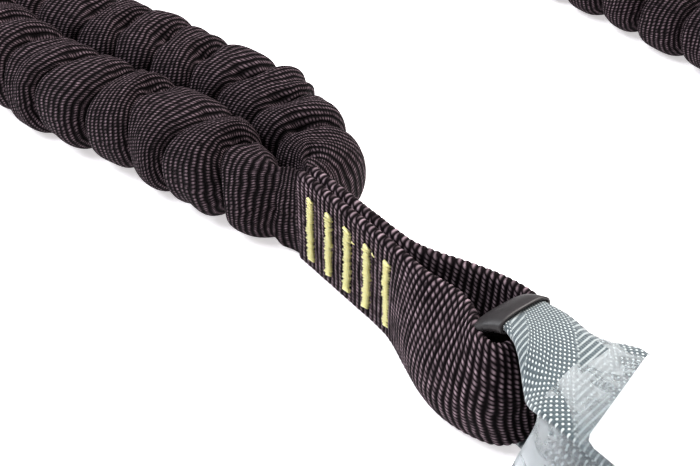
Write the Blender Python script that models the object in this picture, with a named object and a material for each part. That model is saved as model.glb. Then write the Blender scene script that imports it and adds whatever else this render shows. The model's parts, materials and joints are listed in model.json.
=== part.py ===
"""Twin-tail shock absorbing lanyard: two elasticated legs, a folded absorber and three connectors.

Frame: the origin is the centre of the absorber pack's flat underside, on the table. +X runs along the pack
towards the harness karabiner, +Y is to its left and +Z is up. Everything lies on the table at z = 0.
"""

import math

import bmesh
import bpy
from mathutils import Matrix, Vector

MM = 0.001

# Clearances
FIT = 0.3 * MM  # between two pieces that touch
PLY_GAP = 0.4 * MM  # between two folded plies of one webbing

# Leg webbing: a tube woven flat, doubled at its middle into the eye
LEG_WEB_WIDE = 32 * MM
LEG_WEB_THICK = 3.6 * MM
LEG_WALL = 3.0 * MM  # gathered wall of the tube on a leg
LEG_RADIUS = 15 * MM
LEG_SPACING = 60 * MM  # between two points of a leg's centreline
LEG_START_RADIUS = 5 * MM
LEG_SWELL = 42 * MM  # over which a leg opens from the sewn part to its full girth
ELASTIC_RADIUS = 7 * MM

# Sewn part of the eye
TACK_COUNT = 5
TACK_PITCH = 8.8 * MM
TACK_LONG = 22 * MM
TACK_WIDE = 2.4 * MM
TACK_PROUD = 0.5 * MM
SEWN_MARGIN = 6.7 * MM  # from the ends of the doubled webbing to the first tack
SPLIT_MARGIN = 5 * MM  # from the last tack to where the two sides part
EYE_REACH = 83.2 * MM  # from the first tack to the middle of the bend
EYE_HALF = 13 * MM  # half the widest gap, at the webbing's middle
BEND_DROP = 3.0 * MM

# Absorber: one strap, folded to and fro between its two end loops
STRAP_WIDE = 32 * MM
STRAP_THICK = 2.6 * MM
PLY_COUNT = 11
FOLD_X = 80 * MM  # half the length between the folds
TAIL_LONG = 45 * MM
LEG_LOOP_REACH = 16.7 * MM  # from the end of the cover to the far side of the leg loop
LEG_LOOP_WIDE = 16 * MM
HARNESS_LOOP_WIDE = 25 * MM
LOOP_TACK_COUNT = 3
LOOP_TACK_PITCH = 10 * MM
SLEEVE_WALL = 0.9 * MM
BEND_ROOM = 2.6 * MM  # for the sleeve's corners inside the rounded bend

# Cover and label
COVER_PAST_FOLD = 12 * MM  # from the folds to the cover's ends
COVER_WALL = 0.6 * MM
COVER_CORNER = 1.8 * MM
LABEL_WIDE = 29 * MM
LABEL_THICK = 0.4 * MM
LABEL_INSET = 10 * MM  # from the leg end of the cover
LABEL_FAR_INSET = 24 * MM  # from its harness end

# Harness karabiner, lying on its lock sleeve
BAR_RADIUS = 5.5 * MM
KARABINER_LONG = 108 * MM
KARABINER_HALF = 27 * MM  # half the width, at the bar's middle
KARABINER_CORNER = 12 * MM
KARABINER_BOW = 22 * MM
KARABINER_GAP = 18 * MM  # from the cover to the end bar's middle
LOCK_ROOM = 0.9 * MM  # between the bar and the lock that slides over it
LOCK_WALL = 2.1 * MM
LOCK_LONG = 20 * MM
LOCK_CHAMFER = 1.5 * MM
LOCK_TRAVEL = 5.2 * MM  # from clear of the nose to over it
LOCK_BACK = 0.5 * MM  # from the gate's end, with the lock drawn back
GATE_PIVOT_U = 26 * MM
GATE_START = 8.5 * MM  # from the pivot to the gate's round part
GATE_GAP = 0.7 * MM
GATE_PIN_RADIUS = 1.6 * MM
GATE_SLOT_HALF = 2.7 * MM
TABLE_GAP = 0.5 * MM  # from the table to the lock

# Scaffold hooks, lying on their rivet heads
HOOK_THICK = 12 * MM
RIVET_PROUD = 1.5 * MM
EYE_BAR_RADIUS = 4 * MM
EYE_BAR_HALF = 15.5 * MM
EYE_WINDOW_U = 18 * MM
HOOK_ARM = 7.5 * MM
HOOK_BEVEL = 1.2 * MM
HOOK_BOSS = 8.5 * MM  # round the gate's rivet
BASKET_U = 163 * MM
BASKET_RADIUS = 31 * MM
HOOK_BAR = 17 * MM
NOSE_U = 150.2 * MM
HOOK_GATE_PIVOT = (88 * MM, -37 * MM)
HOOK_GATE_WIDE = 9 * MM
HOOK_GATE_START = 10.5 * MM  # from its rivet to its full thickness
HOOK_GATE_DROP = 3 * MM
LEVER_PIVOT = (72 * MM, 16 * MM)
RIVET_RADIUS = 2.5 * MM
RIVET_HEAD = 5 * MM
SLOT_HALF = 3.3 * MM
SPRING_SEAT = 0.5 * MM  # of a gate spring above the pivot's middle

# Leg ends: the webbing goes round the hook's eye bar and is sewn back on itself
END_LOOP_WIDE = 26 * MM
END_LOOP_THICK = 3.0 * MM
END_LOOP_REACH = 42 * MM  # from the end of the leg to the middle of the eye bar
END_SEWN = 23 * MM
END_TACK_COUNT = 3
END_TACK_PITCH = 6.5 * MM
END_SLOPE = 0.13

# Routes of the two legs, as they lie on the table: x from the end of the sewn part and y, in millimetres
LEG_A_ROUTE = (
    (0, -4.5), (-13, -6.3), (-30, -8.2), (-48, -10.5), (-70, -16), (-92, -24), (-118, -31),
    (-150, -35.5), (-193, -34), (-236, -26), (-280, -7), (-318, 23), (-347, 63), (-361, 110), (-361, 160),
    (-347, 208), (-321, 251), (-288, 288), (-250, 308.5), (-218, 310), (-188, 310),
)
LEG_B_ROUTE = (
    (0, 5.5), (-14, 12), (-30, 18.5), (-51, 23.3), (-79, 20.7), (-106, 13.5), (-134, 5), (-163, -1),
    (-196, -1), (-228, 7), (-260, 29), (-282, 63), (-289, 100), (-281, 138), (-259, 171), (-226, 192),
    (-188, 200), (-148, 202), (-108, 202), (-70, 201), (-40, 199.5), (-13, 197.5), (12, 197),
    (42, 197),
)
LEG_Z = LEG_RADIUS + FIT

# Levels worked out from the sizes above
PLY_PITCH = STRAP_THICK + PLY_GAP
TAIL_Z = COVER_WALL + 2 * FIT + STRAP_THICK / 2
TOP_PLY_Z = TAIL_Z + PLY_COUNT * PLY_PITCH
LABEL_Z = TOP_PLY_Z + STRAP_THICK / 2 + FIT
COVER_HALF = FOLD_X + COVER_PAST_FOLD
LABEL_LONG = 2 * COVER_HALF - LABEL_INSET - LABEL_FAR_INSET
PACK_HIGH = LABEL_Z + LABEL_THICK + FIT + COVER_WALL
LOOP_X = -(COVER_HALF + LEG_LOOP_REACH)
SLEEVE_HALF_THICK = STRAP_THICK / 2 + FIT + SLEEVE_WALL
BEND_X = LOOP_X + SLEEVE_HALF_THICK + LEG_WEB_THICK / 2 + BEND_ROOM
TACK_X = BEND_X - EYE_REACH
LEG_START_X = TACK_X - SEWN_MARGIN - FIT
BEND_LIFT = STRAP_THICK + FIT  # the bend is gathered, so its lower edge clears the strap under it
SLEEVE_END_X = BEND_X + LEG_WEB_THICK / 2 + 3.5 * MM
BAR_X = COVER_HALF + KARABINER_GAP
LOCK_BORE = BAR_RADIUS + LOCK_ROOM
LOCK_RADIUS = LOCK_BORE + LOCK_WALL
BAR_Z = LOCK_RADIUS + TABLE_GAP
HOOK_HEIGHT = HOOK_THICK / 2 + RIVET_PROUD
BEND_TOP_Z = LEG_WEB_WIDE - BEND_DROP
LOOP_TOP_Z = BEND_TOP_Z + 2 * FIT + SLEEVE_WALL + STRAP_THICK / 2
FAR_U = KARABINER_LONG - 2 * BAR_RADIUS

FINISHES = {
    "black_webbing": ("#2e292b", 0.85, 0.0),
    "yellow_thread": ("#e6dc6e", 0.7, 0.0),
    "grey_strap": ("#7d8d8f", 0.7, 0.0),
    "black_sleeve": ("#242224", 0.5, 0.0),
    "clear_film": ("#eef2f2", 0.15, 0.0),
    "white_card": ("#fafafa", 0.6, 0.0),
    "elastic": ("#c9bfae", 0.8, 0.0),
    "zinc_steel": ("#b9bcc0", 0.35, 1.0),
    "forged_aluminium": ("#c4c6c8", 0.4, 1.0),
    "spring_steel": ("#8d9094", 0.3, 1.0),
}


def clear_scene():
    for found in list(bpy.data.objects):
        bpy.data.objects.remove(found, do_unlink=True)


def linear(hex_colour):
    channels = [int(hex_colour[i : i + 2], 16) / 255 for i in (1, 3, 5)]
    return [c / 12.92 if c <= 0.04045 else ((c + 0.055) / 1.055) ** 2.4 for c in channels]


def finish_material(node, finish):
    hex_colour, roughness, metallic = FINISHES[finish]
    material = bpy.data.materials.new(f"{node}_{finish}")
    material.use_nodes = True
    shader = material.node_tree.nodes["Principled BSDF"]
    shader.inputs["Base Color"].default_value = (*linear(hex_colour), 1)
    shader.inputs["Roughness"].default_value = roughness
    shader.inputs["Metallic"].default_value = metallic
    return material


def empty(name, location, parent=None, turn=0.0):
    marker = bpy.data.objects.new(name, None)
    bpy.context.collection.objects.link(marker)
    marker.parent = parent
    marker.location = location
    marker.rotation_euler = (0, 0, turn)
    return marker


def mesh_object(name, bm, parent=None, origin=(0, 0, 0), smooth=True):
    """A mesh whose points are given in its parent's frame, with its own origin where it turns or sits."""
    bmesh.ops.translate(bm, vec=-Vector(origin), verts=bm.verts)
    bmesh.ops.recalc_face_normals(bm, faces=bm.faces)
    mesh = bpy.data.meshes.new(name)
    bm.to_mesh(mesh)
    bm.free()
    if smooth:
        mesh.shade_smooth()
        mesh.set_sharp_from_angle(angle=math.radians(35))
    made = bpy.data.objects.new(name, mesh)
    bpy.context.collection.objects.link(made)
    made.parent = parent
    made.location = origin
    return made


def node(name, bm, finish, parent=None, origin=(0, 0, 0)):
    made = mesh_object(name, bm, parent, origin)
    made.data.materials.append(finish_material(name, finish))
    return made


def cut(target, cutter_bm, name, parent=None, operation="DIFFERENCE"):
    """Boolean with a helper solid, given in the same frame as the target's own parent."""
    tool = mesh_object(name, cutter_bm, parent, smooth=False)
    tool.hide_render = True
    tool.display_type = "WIRE"
    step = target.modifiers.new(name, "BOOLEAN")
    step.operation = operation
    step.object = tool
    step.solver = "EXACT"
    return tool


def bevel_edges(target, width, angle=40):
    step = target.modifiers.new("edge_bevel", "BEVEL")
    step.width = width
    step.segments = 1
    step.limit_method = "ANGLE"
    step.angle_limit = math.radians(angle)


def prism(outline, low, high):
    """A closed outline of (x, y) points extruded along Z."""
    bm = bmesh.new()
    face = bm.faces.new([bm.verts.new((x, y, low)) for x, y in outline])
    grown = bmesh.ops.extrude_face_region(bm, geom=[face])
    moved = [item for item in grown["geom"] if isinstance(item, bmesh.types.BMVert)]
    bmesh.ops.translate(bm, vec=(0, 0, high - low), verts=moved)
    return bm


def box(low, high):
    outline = ((low[0], low[1]), (high[0], low[1]), (high[0], high[1]), (low[0], high[1]))
    return prism(outline, low[2], high[2])


def cylinder(radius, low, high, centre=(0, 0), sides=16):
    bm = bmesh.new()
    bmesh.ops.create_cone(bm, cap_ends=True, segments=sides, radius1=radius, radius2=radius, depth=high - low)
    bmesh.ops.translate(bm, vec=(*centre, (low + high) / 2), verts=bm.verts)
    return bm


def merged(*parts):
    """Several closed solids in one mesh, for a cutter."""
    whole = bmesh.new()
    for part in parts:
        held = bpy.data.meshes.new("held")
        part.to_mesh(held)
        part.free()
        whole.from_mesh(held)
        bpy.data.meshes.remove(held)
    return whole


def arc(centre, radius, start, end, steps):
    """Points on an arc or an ellipse's arc, angles in degrees."""
    wide, high = radius if isinstance(radius, tuple) else (radius, radius)
    turns = [math.radians(start + (end - start) * i / steps) for i in range(steps + 1)]
    return [(centre[0] + wide * math.cos(t), centre[1] + high * math.sin(t)) for t in turns]


def side_offsets(path, distance):
    """The path moved sideways to its left, with mitred corners."""
    points = [Vector(p) for p in path]
    moved = []
    for i, here in enumerate(points):
        before = (here - points[i - 1]).normalized() if i else None
        after = (points[i + 1] - here).normalized() if i + 1 < len(points) else None
        along = ((before or after) + (after or before)).normalized()
        sideways = Vector((-along.y, along.x))
        stretch = 1 / max(0.3, along.dot(after or before))
        moved.append(tuple(here + sideways * distance * stretch))
    return moved


def smooth_route(points, spacing):
    """Points a set distance apart on a smooth curve through the route's own points."""
    route = [Vector(p) for p in points]
    route = [2 * route[0] - route[1], *route, 2 * route[-1] - route[-2]]
    fine = []
    for p0, p1, p2, p3 in zip(route, route[1:], route[2:], route[3:]):
        for i in range(20):
            t = i / 20
            bend = (2 * p0 - 5 * p1 + 4 * p2 - p3) * t * t + (3 * p1 - p0 - 3 * p2 + p3) * t**3
            fine.append((2 * p1 + (p2 - p0) * t + bend) / 2)
    fine.append(route[-2])
    runs = [0.0]
    for a, b in zip(fine, fine[1:]):
        runs.append(runs[-1] + (b - a).length)
    count = max(2, round(runs[-1] / spacing))
    spaced = []
    place = 0
    for i in range(count + 1):
        want = runs[-1] * i / count
        while place < len(runs) - 2 and runs[place + 1] < want:
            place += 1
        share = (want - runs[place]) / (runs[place + 1] - runs[place])
        spaced.append(fine[place].lerp(fine[place + 1], share))
    return spaced, runs[-1]


def ease(value, low, high):
    """0 below low, 1 above high, smooth between."""
    t = min(1.0, max(0.0, (value - low) / (high - low)))
    return t * t * (3 - 2 * t)


def rings_to_bmesh(rings, inner=None):
    """A swept solid from rings of points; with inner rings it is a hollow one, open at both ends."""
    bm = bmesh.new()
    outside = [[bm.verts.new(p) for p in ring] for ring in rings]
    inside = [[bm.verts.new(p) for p in ring] for ring in inner] if inner else None
    for skin in (outside, inside) if inside else (outside,):
        for first, second in zip(skin, skin[1:]):
            for i in range(len(first)):
                j = (i + 1) % len(first)
                bm.faces.new((first[i], first[j], second[j], second[i]))
    for end in (0, -1):
        if not inside:
            bm.faces.new(outside[end])
            continue
        for i in range(len(outside[end])):
            j = (i + 1) % len(outside[end])
            bm.faces.new((outside[end][i], outside[end][j], inside[end][j], inside[end][i]))
    return bm


def sweep_rings(path, section, plane):
    """A section of (sideways, across) points carried along a path that lies in one plane."""
    lines = {}
    for sideways in sorted({s for s, _ in section}):
        lines[sideways] = side_offsets(path, sideways)
    rings = []
    for i in range(len(path)):
        ring = []
        for sideways, across in section:
            a, b = lines[sideways][i]
            ring.append((a, b, across) if plane == "XY" else (a, across, b))
        rings.append(ring)
    return rings


def strip(path, thick, reach, plane="XZ"):
    """Webbing that follows a path in a plane; reach(x) gives its two edges, across that plane."""
    left = side_offsets(path, thick / 2)
    right = side_offsets(path, -thick / 2)
    rings = []
    for middle, a, b in zip(path, left, right):
        low, high = reach(middle[0])
        corners = ((a, low), (b, low), (b, high), (a, high))
        rings.append([(u, v, edge) if plane == "XY" else (u, edge, v) for (u, v), edge in corners])
    return rings_to_bmesh(rings)


def round_section(radius, sides=8):
    turns = [2 * math.pi * (i + 0.5) / sides for i in range(sides)]
    return [(round(radius * math.cos(t), 7), round(radius * math.sin(t), 7)) for t in turns]


def coil(name, centre, low, parent, radius=3.7 * MM, wire=0.45 * MM, turns=2):
    """A torsion spring round a pivot, as a curve with a round section."""
    steps = 8
    rise = 2.3 * wire
    curve = bpy.data.curves.new(name, "CURVE")
    curve.dimensions = "3D"
    curve.bevel_depth = wire
    curve.bevel_resolution = 0
    curve.use_fill_caps = True
    spline = curve.splines.new("POLY")
    spline.points.add(steps * turns - 1)
    for i, point in enumerate(spline.points):
        t = 2 * math.pi * i / steps
        point.co = (radius * math.cos(t), radius * math.sin(t), rise * i / steps, 1)
    made = bpy.data.objects.new(name, curve)
    bpy.context.collection.objects.link(made)
    made.parent = parent
    made.location = (*centre, low + wire)
    curve.materials.append(finish_material(name, "spring_steel"))
    return made


# ---------------------------------------------------------------- the doubled webbing and its eye


def eye_half():
    """One side of the eye, from the leg's end to the middle of the bend, as (x, y) with y above 0."""
    sewn_y = LEG_WEB_THICK / 2 + FIT / 2
    split_x = TACK_X + (TACK_COUNT - 1) * TACK_PITCH + SPLIT_MARGIN
    span = BEND_X - split_x
    shape = (
        (0.0, sewn_y), (0.22, sewn_y + 0.28 * EYE_HALF), (0.5, 0.84 * EYE_HALF),
        (0.70, 0.99 * EYE_HALF), (0.868, EYE_HALF), (0.954, 0.86 * EYE_HALF), (1.0, 0.57 * EYE_HALF),
        (1.0, 0.19 * EYE_HALF),
    )
    start = [(TACK_X - SEWN_MARGIN, sewn_y)]
    return start + [(split_x + share * span, y) for share, y in shape]


def eye_edges(x):
    """Lower and upper edge of the eye's webbing, which is gathered inside the absorber's loop."""
    gathered = ease(x, TACK_X + 0.7 * EYE_REACH, TACK_X + 0.9 * EYE_REACH)
    return BEND_LIFT * gathered, LEG_WEB_WIDE - BEND_DROP * gathered


def make_eye():
    half = eye_half()
    near = [(x, -y) for x, y in half]
    eye = strip(near + half[::-1], LEG_WEB_THICK, eye_edges, "XY")
    eye = node("eye_webbing", eye, "black_webbing")
    half_wide = TACK_WIDE / 2
    low = (LEG_WEB_WIDE - TACK_LONG) / 2
    deep = LEG_WEB_THICK + FIT / 2 + TACK_PROUD
    slots = []
    for i in range(TACK_COUNT):
        x = TACK_X + i * TACK_PITCH
        tack = box((x - half_wide, -deep, low), (x + half_wide, deep, low + TACK_LONG))
        node(f"eye_tack_{i + 1}", tack, "yellow_thread", origin=(x, 0, LEG_WEB_WIDE / 2))
        wide = half_wide + FIT
        slots.append(box((x - wide, -2 * deep, low - FIT), (x + wide, 2 * deep, low + TACK_LONG + FIT)))
    cut(eye, merged(*slots), "eye_slots")


# ---------------------------------------------------------------- absorber


def leg_loop_path():
    """The strap round the eye's bend in XZ, from under the bend to the top ply."""
    under = STRAP_THICK / 2
    low_turn = arc((LOOP_X + 4 * MM, under + 4 * MM), 4 * MM, 270, 180, 4)
    high_turn = arc((LOOP_X + 5 * MM, LOOP_TOP_Z - 5 * MM), 5 * MM, 180, 90, 4)
    rise = (TOP_PLY_Z - LOOP_TOP_Z) / 2
    level = (SLEEVE_END_X + FIT, LOOP_TOP_Z)
    over = [level, (-COVER_HALF + 2 * MM, LOOP_TOP_Z + rise), (-FOLD_X - 5 * MM, TOP_PLY_Z - 0.3 * rise)]
    clear_of_bend = (BEND_X + LEG_WEB_THICK / 2 + MM, under)
    return [(-COVER_HALF + 3 * MM, TAIL_Z), clear_of_bend] + low_turn[1:] + high_turn + over


def harness_loop_path():
    """The strap from the lowest ply round the karabiner's end bar and back, in XZ."""
    radius = BAR_RADIUS + FIT + STRAP_THICK / 2
    wrap = arc((BAR_X, BAR_Z), radius, 105, -90, 13)
    return [(FOLD_X + 4 * MM, TAIL_Z + 1.2 * PLY_PITCH)] + wrap + [(COVER_HALF - 3 * MM, TAIL_Z)]


def absorber_path():
    path = [(-COVER_HALF + TAIL_LONG, TAIL_Z)] + leg_loop_path()
    for ply in range(PLY_COUNT, 0, -1):
        z = TAIL_Z + ply * PLY_PITCH
        towards = 1 if (PLY_COUNT - ply) % 2 == 0 else -1
        path += [(-towards * FOLD_X, z), (towards * FOLD_X, z)]
        if ply > 1:
            turn = arc((towards * FOLD_X, z - PLY_PITCH / 2), PLY_PITCH / 2, 90, 90 - towards * 180, 4)
            path += turn[1:-1]
    return path + harness_loop_path() + [(COVER_HALF - TAIL_LONG, TAIL_Z)]


def strap_edges(x):
    """The strap is full width in the pack and gathered narrower in its two end loops."""
    at_leg = (STRAP_WIDE - LEG_LOOP_WIDE) * ease(-x, COVER_HALF - 6 * MM, -SLEEVE_END_X)
    at_harness = (STRAP_WIDE - HARNESS_LOOP_WIDE) * ease(x, COVER_HALF - 8 * MM, COVER_HALF + 6 * MM)
    half = (STRAP_WIDE - at_leg - at_harness) / 2
    return -half, half


def make_absorber():
    absorber = strip(absorber_path(), STRAP_THICK, strap_edges)
    absorber = node("absorber_webbing", absorber, "grey_strap")
    low = TAIL_Z - STRAP_THICK / 2 - FIT
    high = TAIL_Z + PLY_PITCH + STRAP_THICK / 2 + FIT / 2
    half = TACK_LONG / 2
    slots = []
    for side, label in ((-1, "leg"), (1, "harness")):
        for i in range(LOOP_TACK_COUNT):
            x = side * (FOLD_X - 4 * MM - i * LOOP_TACK_PITCH)
            tack = box((x - TACK_WIDE / 2, -half, low), (x + TACK_WIDE / 2, half, high))
            node(f"{label}_loop_tack_{i + 1}", tack, "yellow_thread", origin=(x, 0, (low + high) / 2))
            wide = TACK_WIDE / 2 + FIT
            slots.append(box((x - wide, -half - FIT, low - FIT), (x + wide, half + FIT, high + FIT / 6)))
    cut(absorber, merged(*slots), "loop_tack_slots")


def make_loop_sleeve():
    """The wear sleeve on the crest of the leg loop, inside the eye and over the bend's upper edge."""
    crest = [p for p in leg_loop_path() if p[1] > LOOP_TOP_Z - 6 * MM and p[0] < SLEEVE_END_X]
    path = [(LOOP_X, LEG_WEB_WIDE * 0.3), *crest, (SLEEVE_END_X, LOOP_TOP_Z)]
    wide_in = LEG_LOOP_WIDE / 2 + FIT
    thick_in = STRAP_THICK / 2 + FIT

    def rectangle(thick, wide):
        return [(-thick, -wide), (thick, -wide), (thick, wide), (-thick, wide)]

    outer = sweep_rings(path, rectangle(thick_in + SLEEVE_WALL, wide_in + SLEEVE_WALL), "XZ")
    inner = sweep_rings(path, rectangle(thick_in, wide_in), "XZ")
    node("loop_sleeve", rings_to_bmesh(outer, inner), "black_sleeve")


def rounded_rectangle(half_wide, low, high, corner):
    points = []
    for cy, cz, start in (
        (half_wide - corner, high - corner, 0), (-half_wide + corner, high - corner, 90),
        (-half_wide + corner, low + corner, 180), (half_wide - corner, low + corner, 270),
    ):
        points += arc((cy, cz), corner, start, start + 90, 3)
    return points


def make_cover_and_label():
    half_in = STRAP_WIDE / 2 + 2 * FIT
    outer = rounded_rectangle(half_in + COVER_WALL, 0, PACK_HIGH, COVER_CORNER)
    inner = rounded_rectangle(half_in, COVER_WALL, PACK_HIGH - COVER_WALL, COVER_CORNER - COVER_WALL)
    ends = (-COVER_HALF, COVER_HALF)
    outer_rings = [[(x, y, z) for y, z in outer] for x in ends]
    inner_rings = [[(x, y, z) for y, z in inner] for x in ends]
    node("pack_cover", rings_to_bmesh(outer_rings, inner_rings), "clear_film")
    start = -COVER_HALF + LABEL_INSET
    low = (start, -LABEL_WIDE / 2, LABEL_Z)
    label = box(low, (start + LABEL_LONG, LABEL_WIDE / 2, LABEL_Z + LABEL_THICK))
    node("label_card", label, "white_card", origin=(start, 0, LABEL_Z))


# ---------------------------------------------------------------- legs


def leg_curve(name, points, radius, finish, ends_radius=None, wall=None):
    """A cord solid: a curve with a round section; with a wall it is a tube, open at both ends."""
    curve = bpy.data.curves.new(name, "CURVE")
    curve.dimensions = "3D"
    curve.twist_mode = "Z_UP"
    curve.bevel_depth = radius
    curve.bevel_resolution = 4
    curve.use_fill_caps = wall is None
    spline = curve.splines.new("POLY")
    spline.points.add(len(points) - 1)
    for i, (point, place) in enumerate(zip(spline.points, points)):
        point.co = (*place, 1)
        point.radius = ends_radius[i] if ends_radius else 1.0
    made = bpy.data.objects.new(name, curve)
    bpy.context.collection.objects.link(made)
    curve.materials.append(finish_material(name, finish))
    if wall:
        shell = made.modifiers.new("woven_wall", "SOLIDIFY")
        shell.thickness = wall
        shell.offset = -1
    return made


def make_leg(letter, route):
    flat = [(LEG_START_X + x * MM, y * MM) for x, y in route]
    start = smooth_route(flat[:3], 14 * MM)[0][:-1]
    rest = smooth_route(flat[2:], LEG_SPACING)[0]
    centre = [Vector((p.x, p.y, LEG_Z)) for p in start + rest]
    swell = []
    for point in centre:
        away = (point - centre[0]).length
        here = LEG_START_RADIUS + (LEG_RADIUS - LEG_START_RADIUS) * ease(away, 0, LEG_SWELL)
        swell.append(here / LEG_RADIUS)
    leg_curve(f"leg_{letter}_webbing", centre, LEG_RADIUS, "black_webbing", swell, LEG_WALL)
    core = rest[:-1] + [rest[-1].lerp(rest[-2], 0.05)]
    core = [Vector((p.x, p.y, LEG_Z)) for p in core]
    leg_curve(f"leg_{letter}_elastic", core, ELASTIC_RADIUS, "elastic")
    heading = Vector(flat[-1]) - Vector(flat[-2])
    return centre[-1], math.atan2(heading.y, heading.x)


def make_leg_end(letter, leg_end, turn):
    """The sewn loop at a leg's end; its frame has +X along the leg, on the table."""
    frame = empty(f"leg_{letter}_end_frame", (leg_end.x, leg_end.y, 0), turn=turn)
    radius = EYE_BAR_RADIUS + FIT + END_LOOP_THICK / 2
    apart = (END_LOOP_THICK + FIT) / 2
    sewn_z = LEG_Z - END_SLOPE * END_SEWN
    bar = (END_LOOP_REACH, HOOK_HEIGHT)
    wrap = arc(bar, radius, 100, -110, 12)
    path = [(2 * FIT, LEG_Z + apart), (END_SEWN, sewn_z + apart)] + wrap
    path += [(END_SEWN, sewn_z - apart), (3 * FIT, LEG_Z - apart)]
    loop = strip(path, END_LOOP_THICK, lambda x: (-END_LOOP_WIDE / 2, END_LOOP_WIDE / 2))
    loop = node(f"leg_{letter}_end_loop", loop, "black_webbing", frame)
    deep = END_LOOP_THICK + FIT / 2 + TACK_PROUD
    half = TACK_LONG / 2
    slots = []
    for i in range(END_TACK_COUNT):
        x = END_SEWN - SEWN_MARGIN / 2 - i * END_TACK_PITCH
        z = LEG_Z - END_SLOPE * x
        tack = box((x - TACK_WIDE / 2, -half, z - deep), (x + TACK_WIDE / 2, half, z + deep))
        node(f"leg_{letter}_end_tack_{i + 1}", tack, "yellow_thread", frame, (x, 0, z))
        wide = TACK_WIDE / 2 + FIT
        slots.append(box((x - wide, -half - FIT, z - 2 * deep), (x + wide, half + FIT, z + 2 * deep)))
    cut(loop, merged(*slots), f"leg_{letter}_end_slots", frame)
    return empty(f"hook_{letter}_swing_axis", (END_LOOP_REACH, 0, HOOK_HEIGHT), frame)


# ---------------------------------------------------------------- harness karabiner


def karabiner_path():
    """Middle line of the bent bar, from the gate's pivot round the end bar and the bow to the nose."""
    corner = KARABINER_CORNER
    side = KARABINER_HALF
    bow_u = FAR_U - KARABINER_BOW
    path = [(GATE_PIVOT_U + 6 * MM, -side)]
    path += arc((corner, -side + corner), corner, 270, 180, 4)
    path += arc((corner, side - corner), corner, 180, 90, 4)
    path += arc((bow_u, 0), (KARABINER_BOW, side), 90, -90, 9)
    return path + [(nose_u(), -side)]


def nose_u():
    """The nose's end: what the lock slides over is straight."""
    return FAR_U - KARABINER_BOW - (LOCK_TRAVEL - GATE_GAP - LOCK_BACK + 0.8 * MM)


def make_karabiner():
    frame = empty("karabiner_swing_axis", (BAR_X, 0, BAR_Z))
    body = rings_to_bmesh(sweep_rings(karabiner_path(), round_section(BAR_RADIUS), "XY"))
    body = node("karabiner_body", body, "zinc_steel", frame)
    pivot = (GATE_PIVOT_U, -KARABINER_HALF)
    through = BAR_RADIUS + 3 * MM
    low = (pivot[0] - BAR_RADIUS + FIT, pivot[1] - through, -GATE_SLOT_HALF)
    high = (pivot[0] + GATE_START + FIT, pivot[1] + through, GATE_SLOT_HALF)
    cut(body, box(low, high), "karabiner_slot", frame)
    hole = GATE_PIN_RADIUS + FIT
    cut(body, cylinder(hole, -through, through, pivot, 12), "karabiner_pin_hole", frame)
    pin_half = BAR_RADIUS - FIT
    pin = cylinder(GATE_PIN_RADIUS, -pin_half, pin_half, pivot, 12)
    node("karabiner_gate_pin", pin, "spring_steel", frame, (*pivot, 0))

    gate_axis = empty("karabiner_gate_axis", (*pivot, 0), frame)
    rod_end = nose_u() - GATE_GAP - pivot[0]
    rod_path = [(GATE_START, 0), (rod_end, 0)]
    rod = rings_to_bmesh(sweep_rings(rod_path, round_section(BAR_RADIUS - FIT / 3), "XY"))
    gate = node("karabiner_gate", rod, "zinc_steel", gate_axis)
    half = BAR_RADIUS - MM
    tongue = arc((0, 0), half, 90, 270, 8) + [(GATE_START + 2 * MM, -half), (GATE_START + 2 * MM, half)]
    tongue = prism(tongue, -GATE_SLOT_HALF + FIT, FIT)
    cut(gate, tongue, "karabiner_tongue", gate_axis, "UNION")
    cut(gate, cylinder(hole, -through, through, sides=12), "karabiner_gate_hole", gate_axis)
    coil("karabiner_gate_spring", pivot, SPRING_SEAT, frame, radius=2.8 * MM, wire=0.3 * MM)
    make_lock(rod_end - LOCK_BACK, gate_axis)


def make_lock(end, gate_axis):
    """The sleeve that slides along the gate and over the nose: a turned ring, chamfered outside."""
    start = end - LOCK_LONG
    inner = [(x, LOCK_BORE) for x in (start, end)]
    outer = [
        (end, LOCK_RADIUS - LOCK_CHAMFER), (end - LOCK_CHAMFER, LOCK_RADIUS),
        (start + LOCK_CHAMFER, LOCK_RADIUS), (start, LOCK_RADIUS - LOCK_CHAMFER),
    ]
    bm = bmesh.new()
    profile = [bm.verts.new((x, 0, r)) for x, r in inner + outer]
    edges = [bm.edges.new((a, b)) for a, b in zip(profile, profile[1:] + profile[:1])]
    bmesh.ops.spin(
        bm, geom=profile + edges, cent=(0, 0, 0), axis=(1, 0, 0), angle=2 * math.pi, steps=20, use_merge=True
    )
    node("karabiner_lock_sleeve", bm, "zinc_steel", gate_axis, (start, 0, 0))


# ---------------------------------------------------------------- scaffold hooks


def hook_outline():
    """The hook's plate in its own frame: u from the eye bar to the bow, v across."""
    arm = EYE_BAR_HALF + HOOK_ARM
    outer = BASKET_RADIUS + HOOK_BAR
    bow = (BASKET_U / MM, 0)
    gate_u, gate_v = (value / MM for value in HOOK_GATE_PIVOT)
    nose, arm, inner, outer = (value / MM for value in (NOSE_U, arm, BASKET_RADIUS, outer))
    eye_u = EYE_WINDOW_U / MM
    outline = [(-5, 2 - arm), (-3, -arm), (eye_u, -arm), (40, -17), (58, -22), (72, -36)]
    outline += arc((gate_u, gate_v), HOOK_BOSS / MM, 235, 395, 8)
    outline += [(gate_u - 5, -24), (79, -16), (77, -2), (84, 13), (98, 24), (122, inner - 1)]
    outline += arc(bow, inner, 90, -90, 9)
    outline += [(nose + 3, -inner - 0.5), (nose, -inner - 3), (nose, 3 - outer), (nose + 3, 0.6 - outer)]
    outline += arc(bow, outer, -90, 90, 11)
    outline += [(118, outer - 1), (98, 41), (84, 33), (62, 23), (40, 17), (eye_u, arm)]
    outline += [(-3, arm), (-5, arm - 2)]
    return [(u * MM, v * MM) for u, v in outline]


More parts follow.
